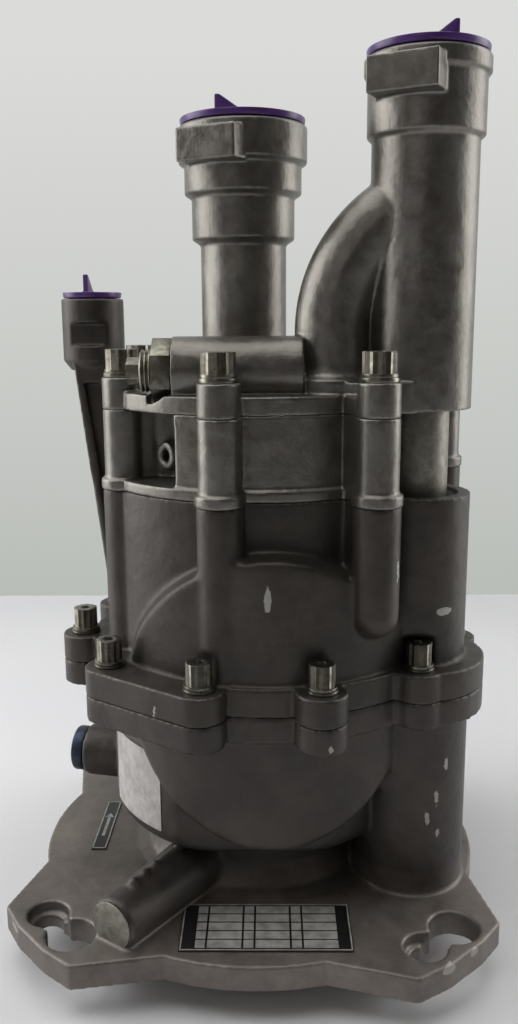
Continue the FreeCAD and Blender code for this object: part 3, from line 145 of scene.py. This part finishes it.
def painted_casting(name, base, shade, bare, gloss, metallic, scuffs, rubbed_and_bounce_lit=None):
    """Sprayed metallic enamel on sand-cast aluminium: even colour, fine pitting, worn edges.

    The paler foot is given by where it starts and where it is full, in millimetres up, and how much paler it
    is: painted bounce light from the bench over partly worn paint.
    """
    material, tree = new_material(name)
    place = millimetres(tree)
    # Cloudy tone of old enamel, in patches of about 30 mm, and grime in patches of about 6 mm
    cloud = add_node(tree, "ShaderNodeTexNoise", {"Scale": 0.033, "Detail": 4.0, "Roughness": 0.6},
                     {"Vector": (place, 0)})
    grime = add_node(tree, "ShaderNodeTexNoise", {"Scale": 0.16, "Detail": 6.0, "Roughness": 0.7},
                     {"Vector": (place, 0)})
    tone = add_node(tree, "ShaderNodeValToRGB", {"stops": ((0.35, colour(shade)), (0.68, colour(base)))},
                    {"Fac": (cloud, 0)})
    grime_tone = add_node(tree, "ShaderNodeValToRGB", {"stops": ((0.3, colour(GRIME)), (0.62, WHITE))},
                          {"Fac": (grime, 0)})
    paint = add_node(tree, "ShaderNodeMix", {"data_type": "RGBA", "blend_type": "MULTIPLY", 0: 0.55},
                     {6: (tone, 0), 7: (grime_tone, 0)})
    # Paler foot: painted bounce light from the bench over partly worn paint, up to 3 times paler near the
    # flange
    if rubbed_and_bounce_lit:
        start, full, lighter = rubbed_and_bounce_lit
        height = add_node(tree, "ShaderNodeSeparateXYZ", links={"Vector": (place, 0)})
        foot = add_node(tree, "ShaderNodeMapRange",
                        {"clamp": True, "From Min": full, "From Max": start, "To Min": lighter,
                         "To Max": 1.0}, {"Value": (height, "Z")})
        paint = add_node(tree, "ShaderNodeMix", {"data_type": "RGBA", "blend_type": "MULTIPLY", 0: 1.0},
                         {6: (paint, 2), 7: (foot, 0)})
    # Sharp edges lose their enamel first, in a ragged line
    shape = add_node(tree, "ShaderNodeNewGeometry")
    ragged = add_node(tree, "ShaderNodeTexNoise", {"Scale": 0.5, "Detail": 5.0, "Roughness": 0.75},
                      {"Vector": (place, 0)})
    proud = add_node(tree, "ShaderNodeValToRGB", {"stops": ((0.53, BLACK), (0.6, WHITE))},
                     {"Fac": (shape, "Pointiness")})
    patchy = add_node(tree, "ShaderNodeValToRGB", {"stops": ((0.45, BLACK), (0.62, WHITE))},
                      {"Fac": (ragged, 0)})
    edge = add_node(tree, "ShaderNodeMath", {"operation": "MULTIPLY"}, {0: (proud, 0), 1: (patchy, 0)})
    wear = edge
    if scuffs:
        spots = scuff_mask(tree, place, scuffs, ragged)
        wear = add_node(tree, "ShaderNodeMath", {"operation": "MAXIMUM"}, {0: (edge, 0), 1: (spots, 0)})
    finish = add_node(tree, "ShaderNodeMix", {"data_type": "RGBA", 7: colour(bare)},
                      {0: (wear, 0), 6: (paint, 2)})
    # Pits of sand casting are about 0.5 mm, drawn at 0.9 mm so that they show
    pits = add_node(tree, "ShaderNodeTexNoise", {"Scale": 1.1, "Detail": 3.0, "Roughness": 0.6},
                    {"Vector": (place, 0)})
    waves = add_node(tree, "ShaderNodeTexNoise", {"Scale": 0.12, "Detail": 2.0}, {"Vector": (place, 0)})
    low = add_node(tree, "ShaderNodeBump", {"Strength": 0.35, "Distance": 0.0012}, {"Height": (waves, 0)})
    high = add_node(tree, "ShaderNodeBump", {"Strength": 0.28, "Distance": 0.0003},
                    {"Height": (pits, 0), "Normal": (low, 0)})
    rough = add_node(tree, "ShaderNodeValToRGB",
                     {"stops": ((0.25, grey(gloss - 0.06)), (0.7, grey(gloss + 0.1)))},
                     {"Fac": (grime, 0)})
    shader = add_node(tree, "ShaderNodeBsdfPrincipled", {"Metallic": metallic},
                      {"Base Color": (finish, 2), "Roughness": (rough, 0), "Normal": (high, 0)})
    add_node(tree, "ShaderNodeOutputMaterial", links={"Surface": (shader, 0)})
    return material


def metal(name, base, stain, gloss, grain):
    """Bare metal part with a stained film of old oil; the grain is in millimetres."""
    material, tree = new_material(name)
    place = millimetres(tree)
    # The film of oil lies in patches of about 3 mm
    film = add_node(tree, "ShaderNodeTexNoise", {"Scale": 0.35, "Detail": 5.0, "Roughness": 0.65},
                    {"Vector": (place, 0)})
    tone = add_node(tree, "ShaderNodeValToRGB", {"stops": ((0.36, colour(stain)), (0.62, colour(base)))},
                    {"Fac": (film, 0)})
    fine = add_node(tree, "ShaderNodeTexNoise", {"Scale": 1 / grain, "Detail": 3.0}, {"Vector": (place, 0)})
    bump = add_node(tree, "ShaderNodeBump", {"Strength": 0.15, "Distance": 0.0002}, {"Height": (fine, 0)})
    rough = add_node(tree, "ShaderNodeValToRGB", {"stops": ((0.3, grey(gloss + 0.14)), (0.7, grey(gloss)))},
                     {"Fac": (film, 0)})
    shader = add_node(tree, "ShaderNodeBsdfPrincipled", {"Metallic": 1.0},
                      {"Base Color": (tone, 0), "Roughness": (rough, 0), "Normal": (bump, 0)})
    add_node(tree, "ShaderNodeOutputMaterial", links={"Surface": (shader, 0)})
    return material


def moulded(name, base, shade, gloss):
    """Moulded plastic or rubber: even colour, faint flow marks, soft gloss."""
    material, tree = new_material(name)
    place = millimetres(tree)
    # Flow marks are about 8 mm apart, and the skin's grain 0.6 mm
    flow = add_node(tree, "ShaderNodeTexNoise", {"Scale": 0.12, "Detail": 3.0}, {"Vector": (place, 0)})
    tone = add_node(tree, "ShaderNodeValToRGB", {"stops": ((0.35, colour(shade)), (0.65, colour(base)))},
                    {"Fac": (flow, 0)})
    skin = add_node(tree, "ShaderNodeTexNoise", {"Scale": 1.6, "Detail": 2.0}, {"Vector": (place, 0)})
    bump = add_node(tree, "ShaderNodeBump", {"Strength": 0.08, "Distance": 0.0002}, {"Height": (skin, 0)})
    shader = add_node(tree, "ShaderNodeBsdfPrincipled", {"Roughness": gloss},
                      {"Base Color": (tone, 0), "Normal": (bump, 0)})
    add_node(tree, "ShaderNodeOutputMaterial", links={"Surface": (shader, 0)})
    return material


def printed_aluminium(name, base, stain):
    """Etched and lacquered aluminium: half metal, half pale lacquer, with faint stains."""
    material, tree = new_material(name)
    place = millimetres(tree)
    # Stains of about 4 mm
    blot = add_node(tree, "ShaderNodeTexNoise", {"Scale": 0.25, "Detail": 5.0}, {"Vector": (place, 0)})
    tone = add_node(tree, "ShaderNodeValToRGB", {"stops": ((0.35, colour(stain)), (0.6, colour(base)))},
                    {"Fac": (blot, 0)})
    shader = add_node(tree, "ShaderNodeBsdfPrincipled", {"Metallic": 0.35, "Roughness": 0.42},
                      {"Base Color": (tone, 0)})
    add_node(tree, "ShaderNodeOutputMaterial", links={"Surface": (shader, 0)})
    return material


def paper(name, base, stain):
    """Old paper label under clear tape: pale, blotched and slightly glossy."""
    material, tree = new_material(name)
    place = millimetres(tree)
    # Blots of about 5 mm
    blot = add_node(tree, "ShaderNodeTexNoise", {"Scale": 0.2, "Detail": 6.0, "Roughness": 0.7},
                    {"Vector": (place, 0)})
    tone = add_node(tree, "ShaderNodeValToRGB", {"stops": ((0.38, colour(stain)), (0.6, colour(base)))},
                    {"Fac": (blot, 0)})
    shader = add_node(tree, "ShaderNodeBsdfPrincipled", {"Roughness": 0.42}, {"Base Color": (tone, 0)})
    add_node(tree, "ShaderNodeOutputMaterial", links={"Surface": (shader, 0)})
    return material


# Worn spots of the castings: place, half width and half height, in millimetres
LOW_SCUFFS = [
    # down the passage
    ((63.0, -43.0, 58.0), 0.9, 3.0), ((60.0, -45.0, 50.0), 0.8, 2.2),
    ((64.0, -44.0, 44.0), 0.7, 1.4), ((66.5, -42.6, 70.0), 0.7, 2.6),
    # under the rim
    ((-33.0, -60.0, 90.0), 0.7, 1.6), ((24.0, -73.0, 89.5), 0.8, 1.2),
    # on the flange's ears
    ((62.0, -83.0, 18.5), 2.4, 1.6), ((72.0, -76.0, 18.5), 1.8, 1.5), ((-84.0, -60.0, 17.5), 2.0, 1.2),
]
HIGH_SCUFFS = [
    # on the case's front and on the passage's top
    ((4.0, -61.0, 135.5), 1.1, 4.2), ((64.0, -42.0, 125.5), 2.8, 1.5),
    # down the right front column
    ((46.0, -57.5, 144.0), 0.6, 3.4), ((47.0, -57.0, 153.0), 0.6, 2.0),
    # over the rim
    ((-33.0, -62.0, 98.5), 0.5, 3.0), ((-24.0, -66.0, 99.0), 0.5, 3.2),
]

# The last three numbers make the flange three times paler at its foot: painted bounce light from the bench
# over partly worn paint
dark_enamel = painted_casting("worn dark enamel with painted foot light", "#504b47", "#413d3a", "#a39f99", 0.42, 0.5, LOW_SCUFFS,
                              (30.0, 19.0, 3.0))
case_enamel = painted_casting("worn case enamel", "#4e4944", "#3f3b37", "#a5a39d", 0.42, 0.5, HIGH_SCUFFS)
silver_enamel = painted_casting("silver enamel", "#827f79", "#716e69", "#b4b3ae", 0.33, 0.84, [])
bolt_steel = metal("oiled bolt steel", "#88857b", "#646056", 0.26, 0.5)
ground_steel = metal("ground steel", "#a8a49c", "#86817a", 0.3, 0.4)
tube_steel = metal("stained tube steel", "#8a8880", "#77736a", 0.4, 0.5)
spring_steel = metal("dark spring steel", "#67635e", "#4c4945", 0.35, 0.5)
bearing_bronze = metal("bearing bronze", "#a67c4b", "#7c5a34", 0.32, 0.4)
bare_aluminium = metal("sawn bare aluminium", "#a9a59e", "#88837b", 0.48, 0.9)
purple_plastic = moulded("purple polythene", "#54307a", "#452463", 0.3)
seal_rubber = moulded("black seal rubber", "#1b1b1c", "#141415", 0.55)
blue_anodised = metal("blue anodised aluminium", "#444b57", "#343a46", 0.36, 0.5)
plate_silver = printed_aluminium("etched plate aluminium", "#b4b3ae", "#92918c")
plate_black = moulded("black plate lacquer", "#1c1b1c", "#141314", 0.4)
label_paper = paper("yellowed label paper", "#c4c0bd", "#a5a09c")

finish_of_slot = {
    "dark_casting": dark_enamel, "light_casting": silver_enamel, "ground_steel": ground_steel,
    "spring_steel": spring_steel, "fastener_steel": bolt_steel, "purple_plastic": purple_plastic,
    "bronze": bearing_bronze, "seal_rubber": seal_rubber, "blue_plug": blue_anodised,
}
slot_of_node = {part["node"]: part["material_slot"] for part in frame["record"]["subparts"]}
bodies = frame["record"]["behaviour"]["bodies"]
body_of_node = {node: body for body, members in bodies.items() for node in members}


def give_finish(piece, material):
    piece.data.materials.clear()
    piece.data.materials.append(material)


for node, piece in nodes.items():
    for slot in piece.material_slots:
        slot.material = finish_of_slot[slot_of_node[node]]


def select_only(piece):
    bpy.ops.object.select_all(action="DESELECT")
    piece.select_set(True)
    bpy.context.view_layer.objects.active = piece


def apply_modifier(piece, kind, **settings):
    modifier = piece.modifiers.new(kind.lower(), kind)
    for key, value in settings.items():
        setattr(modifier, key, value)
    select_only(piece)
    bpy.ops.object.modifier_apply(modifier=modifier.name)


def copy_of(node, name):
    """A merged copy of a solid's mesh, to be shaped further."""
    piece = bpy.data.objects.new(name, nodes[node].data.copy())
    bpy.context.scene.collection.objects.link(piece)
    select_only(piece)
    bpy.ops.mesh.customdata_custom_splitnormals_clear()
    bpy.ops.object.mode_set(mode="EDIT")
    bpy.ops.mesh.select_all(action="SELECT")
    bpy.ops.mesh.remove_doubles(threshold=MERGE_DISTANCE)
    bpy.ops.object.mode_set(mode="OBJECT")
    return piece


def finish_piece(piece, body, material):
    """Settle a piece: its place into its mesh, its finish, and the body it rides on."""
    select_only(piece)
    bpy.ops.object.transform_apply(location=True, rotation=True, scale=True)
    give_finish(piece, material)
    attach(piece, body)
    return piece


def join(piece, others):
    bpy.ops.object.select_all(action="DESELECT")
    for other in others:
        other.select_set(True)
    piece.select_set(True)
    bpy.context.view_layer.objects.active = piece
    bpy.ops.object.join()
    return piece


def soften(piece, softness, passes):
    """Rounds the cast blends: softness gives 0 to 1 for a place in millimetres."""
    group = piece.vertex_groups.new(name="cast blends")
    levels = {}
    for vertex in piece.data.vertices:
        level = round(4 * softness(vertex.co / MM)) / 4
        levels.setdefault(level, []).append(vertex.index)
    for level, members in levels.items():
        if level > 0:
            group.add(members, level, "REPLACE")
    apply_modifier(piece, "SMOOTH", factor=0.5, iterations=passes, vertex_group=group.name)
    piece.vertex_groups.clear()


def casting(node, name, voxel, softness, passes, edge_passes, material, added=()):
    """A casting's skin: the solid and what is added to it, skinned as one and blended.

    voxel is in millimetres, and softness says where the cast blends are."""
    piece = copy_of(node, name)
    if added:
        join(piece, added)
        select_only(piece)
    apply_modifier(piece, "REMESH", mode="VOXEL", voxel_size=voxel * MM)
    soften(piece, softness, passes)
    apply_modifier(piece, "SMOOTH", factor=0.5, iterations=edge_passes)
    triangles = 2 * len(piece.data.polygons)
    if triangles > MOST_TRIANGLES:
        apply_modifier(piece, "DECIMATE", ratio=MOST_TRIANGLES / triangles)
    select_only(piece)
    bpy.ops.object.shade_smooth()
    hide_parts(node)
    return finish_piece(piece, body_of_node[node], material)


def between(height, low, high, ramp_length):
    """1 between two heights, falling to 0 over a length outside them."""
    outside = max(low - height, height - high, 0)
    return max(0.0, 1 - outside / ramp_length)


def bar(name, size, place, angle=0.0, slope=0.0):
    """A plain bar given by its size and centre in millimetres, turned about the vertical."""
    bpy.ops.object.select_all(action="DESELECT")
    bpy.ops.mesh.primitive_cube_add(size=1, location=Vector(place) * MM, rotation=(0, slope, angle))
    made = bpy.context.object
    made.name = name
    made.scale = Vector(size) * MM
    bpy.ops.object.transform_apply(location=True, rotation=True, scale=True)
    return made


def bead(name, radius, place):
    bpy.ops.object.select_all(action="DESELECT")
    bpy.ops.mesh.primitive_uv_sphere_add(segments=16, ring_count=8, radius=radius * MM,
                                         location=Vector(place) * MM)
    made = bpy.context.object
    made.name = name
    bpy.ops.object.transform_apply(location=True, rotation=True, scale=True)
    return made


def stub_ridge():
    """Thin ridge with three weld beads along the top of the stub."""
    def along(reach, height):
        return (reach * math.cos(STUB_ANGLE), reach * math.sin(STUB_ANGLE), height)

    top = STUB_HEIGHT + STUB_RADIUS
    made = [bar("ridge", (30, 3.0, 5), along(62, top - 0.6), STUB_ANGLE, math.radians(2.5))]
    for step in range(3):
        made.append(bead("weld bead", 2.1, along(64 + 5.5 * step, top + 1.4 - 0.3 * step)))
    return made


def drive_softness(p):
    """Cast above the flange and below the rim; the flange and its pilot are machined."""
    return between(p.z, 24, 82, 3)


def case_softness(p):
    """Cast between the rim and the machined joint with the port block, in millimetres up."""
    return between(p.z, 111, 156, 4)


def block_softness(p):
    """Cast between its two machined joints."""
    return between(p.z, 171, 188, 2)


def cap_softness(p):
    """The elbow and its joint with the outlet tube are cast; ports and deck are machined."""
    near_elbow = between(p.x, 22, 60, 4) * between(p.y, -50, 0, 4)
    return near_elbow * between(p.z, 207, 272, 3)


casting("drive_housing", "drive_housing_casting", 0.75, drive_softness, 24, 1, dark_enamel, stub_ridge())
casting("main_housing", "main_housing_casting", 0.7, case_softness, 30, 1, case_enamel)
casting("port_block", "port_block_casting", 0.6, block_softness, 10, 1, silver_enamel)
casting("port_cap", "port_cap_casting", 0.55, cap_softness, 24, 1, silver_enamel)


def broken_edges(node, name, width, material):
    """A machined or moulded part with its sharp edges broken."""
    piece = copy_of(node, name)
    bpy.ops.object.mode_set(mode="EDIT")
    bpy.ops.mesh.select_all(action="SELECT")
    bpy.ops.mesh.dissolve_limited(angle_limit=math.radians(0.8))
    bpy.ops.object.mode_set(mode="OBJECT")
    apply_modifier(piece, "BEVEL", width=width * MM, segments=2, limit_method="ANGLE",
                   angle_limit=math.radians(28), use_clamp_overlap=True, harden_normals=False)
    apply_modifier(piece, "TRIANGULATE")
    select_only(piece)
    bpy.ops.object.shade_smooth_by_angle(angle=math.radians(32))
    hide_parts(node)
    return finish_piece(piece, body_of_node[node], material)


for node in ("cap_bolts", "rim_bolts"):
    broken_edges(node, node + "_finished", 0.3, bolt_steel)
for node in ("lock_nut", "adjusting_screw", "cap_washers", "rim_washers"):
    broken_edges(node, node + "_finished", 0.25, bolt_steel)
for node in ("suction_cover", "outlet_cover", "drain_cover"):
    broken_edges(node, node + "_moulded", 0.5, purple_plastic)
broken_edges("transfer_tube", "transfer_tube_finished", 0.4, tube_steel)
broken_edges("drain_plug", "plug_finished", 0.8, blue_anodised)
# The spool's end edges clear the rounded end of its bore in the casting's skin
broken_edges("compensator_spool", "spool_finished", 1.0, ground_steel)


def data_plate():
    """Etched data plate on the flange, left blank: a frame and three columns of empty cells."""
    centre = Vector((3.0, -63.6, FLANGE_TOP))
    length, width, thick = 58.0, 25.5, 0.5
    base = bar("data_plate", (length, width, thick), centre + Vector((0, 0, thick / 2)))
    apply_modifier(base, "BEVEL", width=0.2 * MM, segments=2)
    finish_piece(base, "housing", plate_black)
    cells = []
    raised = 0.12
    top = centre.z + thick + raised / 2
    line, inset = 0.5, 0.6
    for side in (-1, 1):
        cells.append(bar("edge", (length - inset, line, raised),
                         (centre.x, centre.y + side * (width / 2 - inset), top)))
        cells.append(bar("edge", (line, width - inset, raised),
                         (centre.x + side * (length / 2 - inset), centre.y, top)))
    rows, row_pitch, columns, column_pitch = 5, 4.6, 3, 16.1
    narrow, wide = 3.3, 11.4
    for row in range(rows):
        y = centre.y + (row - (rows - 1) / 2) * row_pitch
        for column in range(columns):
            left = centre.x - length / 2 + 5.4 + column * column_pitch
            cells.append(bar("cell", (narrow, row_pitch - 0.6, raised), (left + narrow / 2, y, top)))
            cells.append(bar("cell", (wide, row_pitch - 0.6, raised), (left + 4.0 + wide / 2, y, top)))
    grid = join(cells[0], cells[1:])
    grid.name = "data_plate_cells"
    finish_piece(grid, "housing", plate_silver)


def direction_plate():
    """Small plate with a plain arrow on the flange's left."""
    centre = Vector((-62.4, 3.2, FLANGE_TOP))
    angle = math.radians(89)
    thick, raised = 0.5, 0.12
    base = bar("direction_plate", (37, 6.0, thick), centre + Vector((0, 0, thick / 2)), angle)
    apply_modifier(base, "BEVEL", width=0.2 * MM, segments=2)
    finish_piece(base, "housing", plate_black)
    turn = Matrix.Rotation(angle, 3, "Z")

    def spot(along, across):
        return centre + turn @ Vector((along, across, thick + raised / 2))

    marks = []
    for side in (1, -1):
        marks.append(bar("edge", (36, 0.5, raised), spot(0, 2.5 * side), angle))
    for end in (1, -1):
        marks.append(bar("edge", (0.5, 5.4, raised), spot(17.8 * end, 0), angle))
    marks.append(bar("shaft", (14, 1.2, raised), spot(-2, 0), angle))
    bpy.ops.object.select_all(action="DESELECT")
    bpy.ops.mesh.primitive_cylinder_add(vertices=3, radius=2.1 * MM, depth=raised * MM,
                                        location=spot(6.4, 0) * MM, rotation=(0, 0, angle - math.pi / 2))
    marks.append(bpy.context.object)
    grid = join(marks[0], marks[1:])
    grid.name = "direction_plate_arrow"
    finish_piece(grid, "housing", plate_silver)


def paper_label():
    """Blank paper label that follows the round of the drum."""
    low, high = 45.0, 74.0
    first, last = 200, 233
    thick = 0.12
    bpy.ops.object.select_all(action="DESELECT")
    bpy.ops.mesh.primitive_cylinder_add(vertices=240, radius=(DRUM_RADIUS + thick) * MM,
                                        depth=(high - low) * MM, end_fill_type="NOTHING",
                                        location=(0, 0, (low + high) / 2 * MM))
    label = bpy.context.object
    label.name = "paper_label"
    bpy.ops.object.mode_set(mode="EDIT")
    bpy.ops.mesh.select_mode(type="FACE")
    bpy.ops.mesh.select_all(action="DESELECT")
    bpy.ops.object.mode_set(mode="OBJECT")
    for face in label.data.polygons:
        azimuth = math.degrees(math.atan2(face.center.y, face.center.x)) % 360
        face.select = not first < azimuth < last
    bpy.ops.object.mode_set(mode="EDIT")
    bpy.ops.mesh.delete(type="FACE")
    bpy.ops.object.mode_set(mode="OBJECT")
    apply_modifier(label, "SOLIDIFY", thickness=thick * MM, offset=1.0)
    finish_piece(label, "housing", label_paper)


def stub_face():
    """Sawn end of the stub, left bare."""
    bpy.ops.object.select_all(action="DESELECT")
    reach = (STUB_REACH + 0.05) * MM
    bpy.ops.mesh.primitive_cylinder_add(
        vertices=48, radius=(STUB_RADIUS - 1) * MM, depth=0.5 * MM,
        location=(reach * math.cos(STUB_ANGLE), reach * math.sin(STUB_ANGLE), STUB_HEIGHT * MM),
        rotation=(math.pi / 2, 0, STUB_ANGLE + math.pi / 2))
    face = bpy.context.object
    face.name = "stub_end"
    apply_modifier(face, "BEVEL", width=0.2 * MM, segments=2, limit_method="ANGLE")
    finish_piece(face, "housing", bare_aluminium)


data_plate()
direction_plate()
paper_label()
stub_face()


def wall_paint():
    """Pale wall: a glow to the camera and to reflections, darker at its foot and paler at its top as painted
    shade, and a greyer colour to the light.
    """
    material, tree = new_material("pale wall")
    path = add_node(tree, "ShaderNodeLightPath")
    mirrored = add_node(tree, "ShaderNodeMath", {"operation": "MAXIMUM"},
                        {0: (path, "Is Camera Ray"), 1: (path, "Is Glossy Ray")})
    shown = add_node(tree, "ShaderNodeMath", {"operation": "MAXIMUM"},
                     {0: (mirrored, 0), 1: (path, "Is Transmission Ray")})
    place = millimetres(tree)
    # Painted shade: the wall glows darker at its foot and paler higher up
    height = add_node(tree, "ShaderNodeSeparateXYZ", links={"Vector": (place, 0)})
    part = add_node(tree, "ShaderNodeMath", {"operation": "DIVIDE", 1: WALL_SHADE_HEIGHT}, {0: (height, "Z")})
    painted_wall_shade = add_node(tree, "ShaderNodeValToRGB",
                    {"stops": ((0.0, colour(WALL_SHADED_FOOT)), (1.0, colour(WALL_LIT_TOP)))},
                    {"Fac": (part, 0)})
    glow = add_node(tree, "ShaderNodeEmission", {"Strength": 1.0}, {"Color": (painted_wall_shade, 0)})
    matt = add_node(tree, "ShaderNodeBsdfDiffuse", {"Color": colour("#8a8a88")})
    mixed = add_node(tree, "ShaderNodeMixShader", links={0: (shown, 0), 1: (matt, 0), 2: (glow, 0)})
    # The wall is there from the front only, so that the object can be seen from behind it
    side = add_node(tree, "ShaderNodeNewGeometry")
    clear = add_node(tree, "ShaderNodeBsdfTransparent")
    sided = add_node(tree, "ShaderNodeMixShader",
                     links={0: (side, "Backfacing"), 1: (mixed, 0), 2: (clear, 0)})
    add_node(tree, "ShaderNodeOutputMaterial", links={"Surface": (sided, 0)})
    return material


def bench_and_wall():
    """White bench top and a pale wall behind it."""
    bpy.ops.object.select_all(action="DESELECT")
    bpy.ops.mesh.primitive_plane_add(size=1)
    bench = bpy.context.object
    bench.name = "bench"
    bench.scale = (12, 12, 1)
    bench.location = (0, 0, -0.0001)
    bpy.ops.object.transform_apply(location=True, rotation=True, scale=True)
    material, tree = new_material("white bench laminate")
    place = millimetres(tree)
    # A faint haze in patches of about 250 mm
    haze = add_node(tree, "ShaderNodeTexNoise", {"Scale": 0.004, "Detail": 2.0}, {"Vector": (place, 0)})
    tone = add_node(tree, "ShaderNodeValToRGB",
                    {"stops": ((0.3, colour("#e3e3e6")), (0.7, colour("#ebebed")))},
                    {"Fac": (haze, 0)})
    near = add_node(tree, "ShaderNodeBsdfPrincipled", {"Roughness": 0.5}, {"Base Color": (tone, 0)})
    # Beyond half a metre the bench runs out into the pale backdrop, past the lamps
    reach = add_node(tree, "ShaderNodeVectorMath", {"operation": "LENGTH"}, {0: (place, 0)})
    out = add_node(tree, "ShaderNodeMapRange", {"clamp": True, "From Min": 480.0, "From Max": 780.0},
                   {"Value": (reach, "Value")})
    path = add_node(tree, "ShaderNodeLightPath")
    paler = add_node(tree, "ShaderNodeMath", {"operation": "MULTIPLY"},
                     {0: (out, 0), 1: (path, "Is Camera Ray")})
    far = add_node(tree, "ShaderNodeEmission", {"Color": colour("#dcddde"), "Strength": 1.0})
    shader = add_node(tree, "ShaderNodeMixShader", links={0: (paler, 0), 1: (near, 0), 2: (far, 0)})
    add_node(tree, "ShaderNodeOutputMaterial", links={"Surface": (shader, 0)})
    give_finish(bench, material)
    bpy.ops.object.select_all(action="DESELECT")
    bpy.ops.mesh.primitive_plane_add(size=1, rotation=(math.pi / 2, 0, 0))
    wall = bpy.context.object
    wall.name = "wall"
    wall.scale = (6, 3, 1)
    wall.location = (0, WALL_BEHIND, 1.499)
    bpy.ops.object.transform_apply(location=True, rotation=True, scale=True)
    give_finish(wall, wall_paint())


def lamp(name, place, aim, width, height, power):
    data = bpy.data.lights.new(name, "AREA")
    data.shape = "RECTANGLE"
    data.size = width
    data.size_y = height
    data.energy = power
    light = bpy.data.objects.new(name, data)
    bpy.context.scene.collection.objects.link(light)
    light.location = place
    light.rotation_euler = (Vector(aim) - Vector(place)).to_track_quat("-Z", "Y").to_euler()


def studio_light():
    """Broad soft light from both sides and above, and a dim room on the camera's side."""
    middle = (0, 0, 0.15)
    lamp("window_left", (-0.8, 0.1, 0.4), middle, 0.7, 1.0, 7.0)
    lamp("window_right", (0.8, 0.2, 0.4), middle, 0.6, 1.0, 5.2)
    lamp("ceiling", (-0.1, 0.05, 1.0), middle, 1.2, 0.8, 5.5)
    lamp("room_fill", (-0.5, -1.1, 0.7), middle, 0.5, 0.6, 0.6)
    world = bpy.data.worlds.new("room")
    bpy.context.scene.world = world
    world.use_nodes = True
    tree = world.node_tree
    tree.nodes.clear()
    # The room is dimmer on the side that the photograph was taken from
    coordinates = add_node(tree, "ShaderNodeTexCoord")
    parts = add_node(tree, "ShaderNodeSeparateXYZ", links={"Vector": (coordinates, "Generated")})
    away = add_node(tree, "ShaderNodeMath", {"operation": "MULTIPLY_ADD", 1: 0.5, 2: 0.5},
                    {0: (parts, "Y")})
    shade = add_node(tree, "ShaderNodeValToRGB",
                     {"stops": ((0.0, colour(DIM_ROOM)), (1.0, colour(BRIGHT_ROOM)))},
                     {"Fac": (away, 0)})
    glow = add_node(tree, "ShaderNodeBackground", {"Strength": 0.5}, {"Color": (shade, 0)})
    # What the camera sees past the bench is a pale backdrop, which lights nothing
    backdrop = add_node(tree, "ShaderNodeBackground", {"Color": colour("#d6d7d6"), "Strength": 1.0})
    path = add_node(tree, "ShaderNodeLightPath")
    seen = add_node(tree, "ShaderNodeMixShader",
                    links={0: (path, "Is Camera Ray"), 1: (glow, 0), 2: (backdrop, 0)})
    add_node(tree, "ShaderNodeOutputWorld", links={"Surface": (seen, 0)})


def photograph_camera():
    yaw, pitch, roll = (math.radians(a) for a in (CAMERA_YAW, CAMERA_PITCH, CAMERA_ROLL))
    forward = Vector((math.sin(yaw) * math.cos(pitch), math.cos(yaw) * math.cos(pitch), -math.sin(pitch)))
    level = Vector((math.cos(yaw), -math.sin(yaw), 0))
    above = level.cross(forward)
    right = math.cos(roll) * level + math.sin(roll) * above
    up = math.cos(roll) * above - math.sin(roll) * level
    data = bpy.data.cameras.new("camera")
    data.sensor_fit = "VERTICAL"
    data.sensor_height = 36
    data.lens = FOCAL_PIXELS / PHOTO_HEIGHT * 36
    data.clip_start = 0.01
    camera = bpy.data.objects.new("camera", data)
    bpy.context.scene.collection.objects.link(camera)
    turned = Matrix((right, up, -forward)).transposed().to_4x4()
    camera.matrix_world = Matrix.Translation(Vector(CAMERA_PLACE) * MM) @ turned
    bpy.context.scene.camera = camera


bench_and_wall()
studio_light()
photograph_camera()
bpy.context.scene.view_settings.view_transform = "Standard"
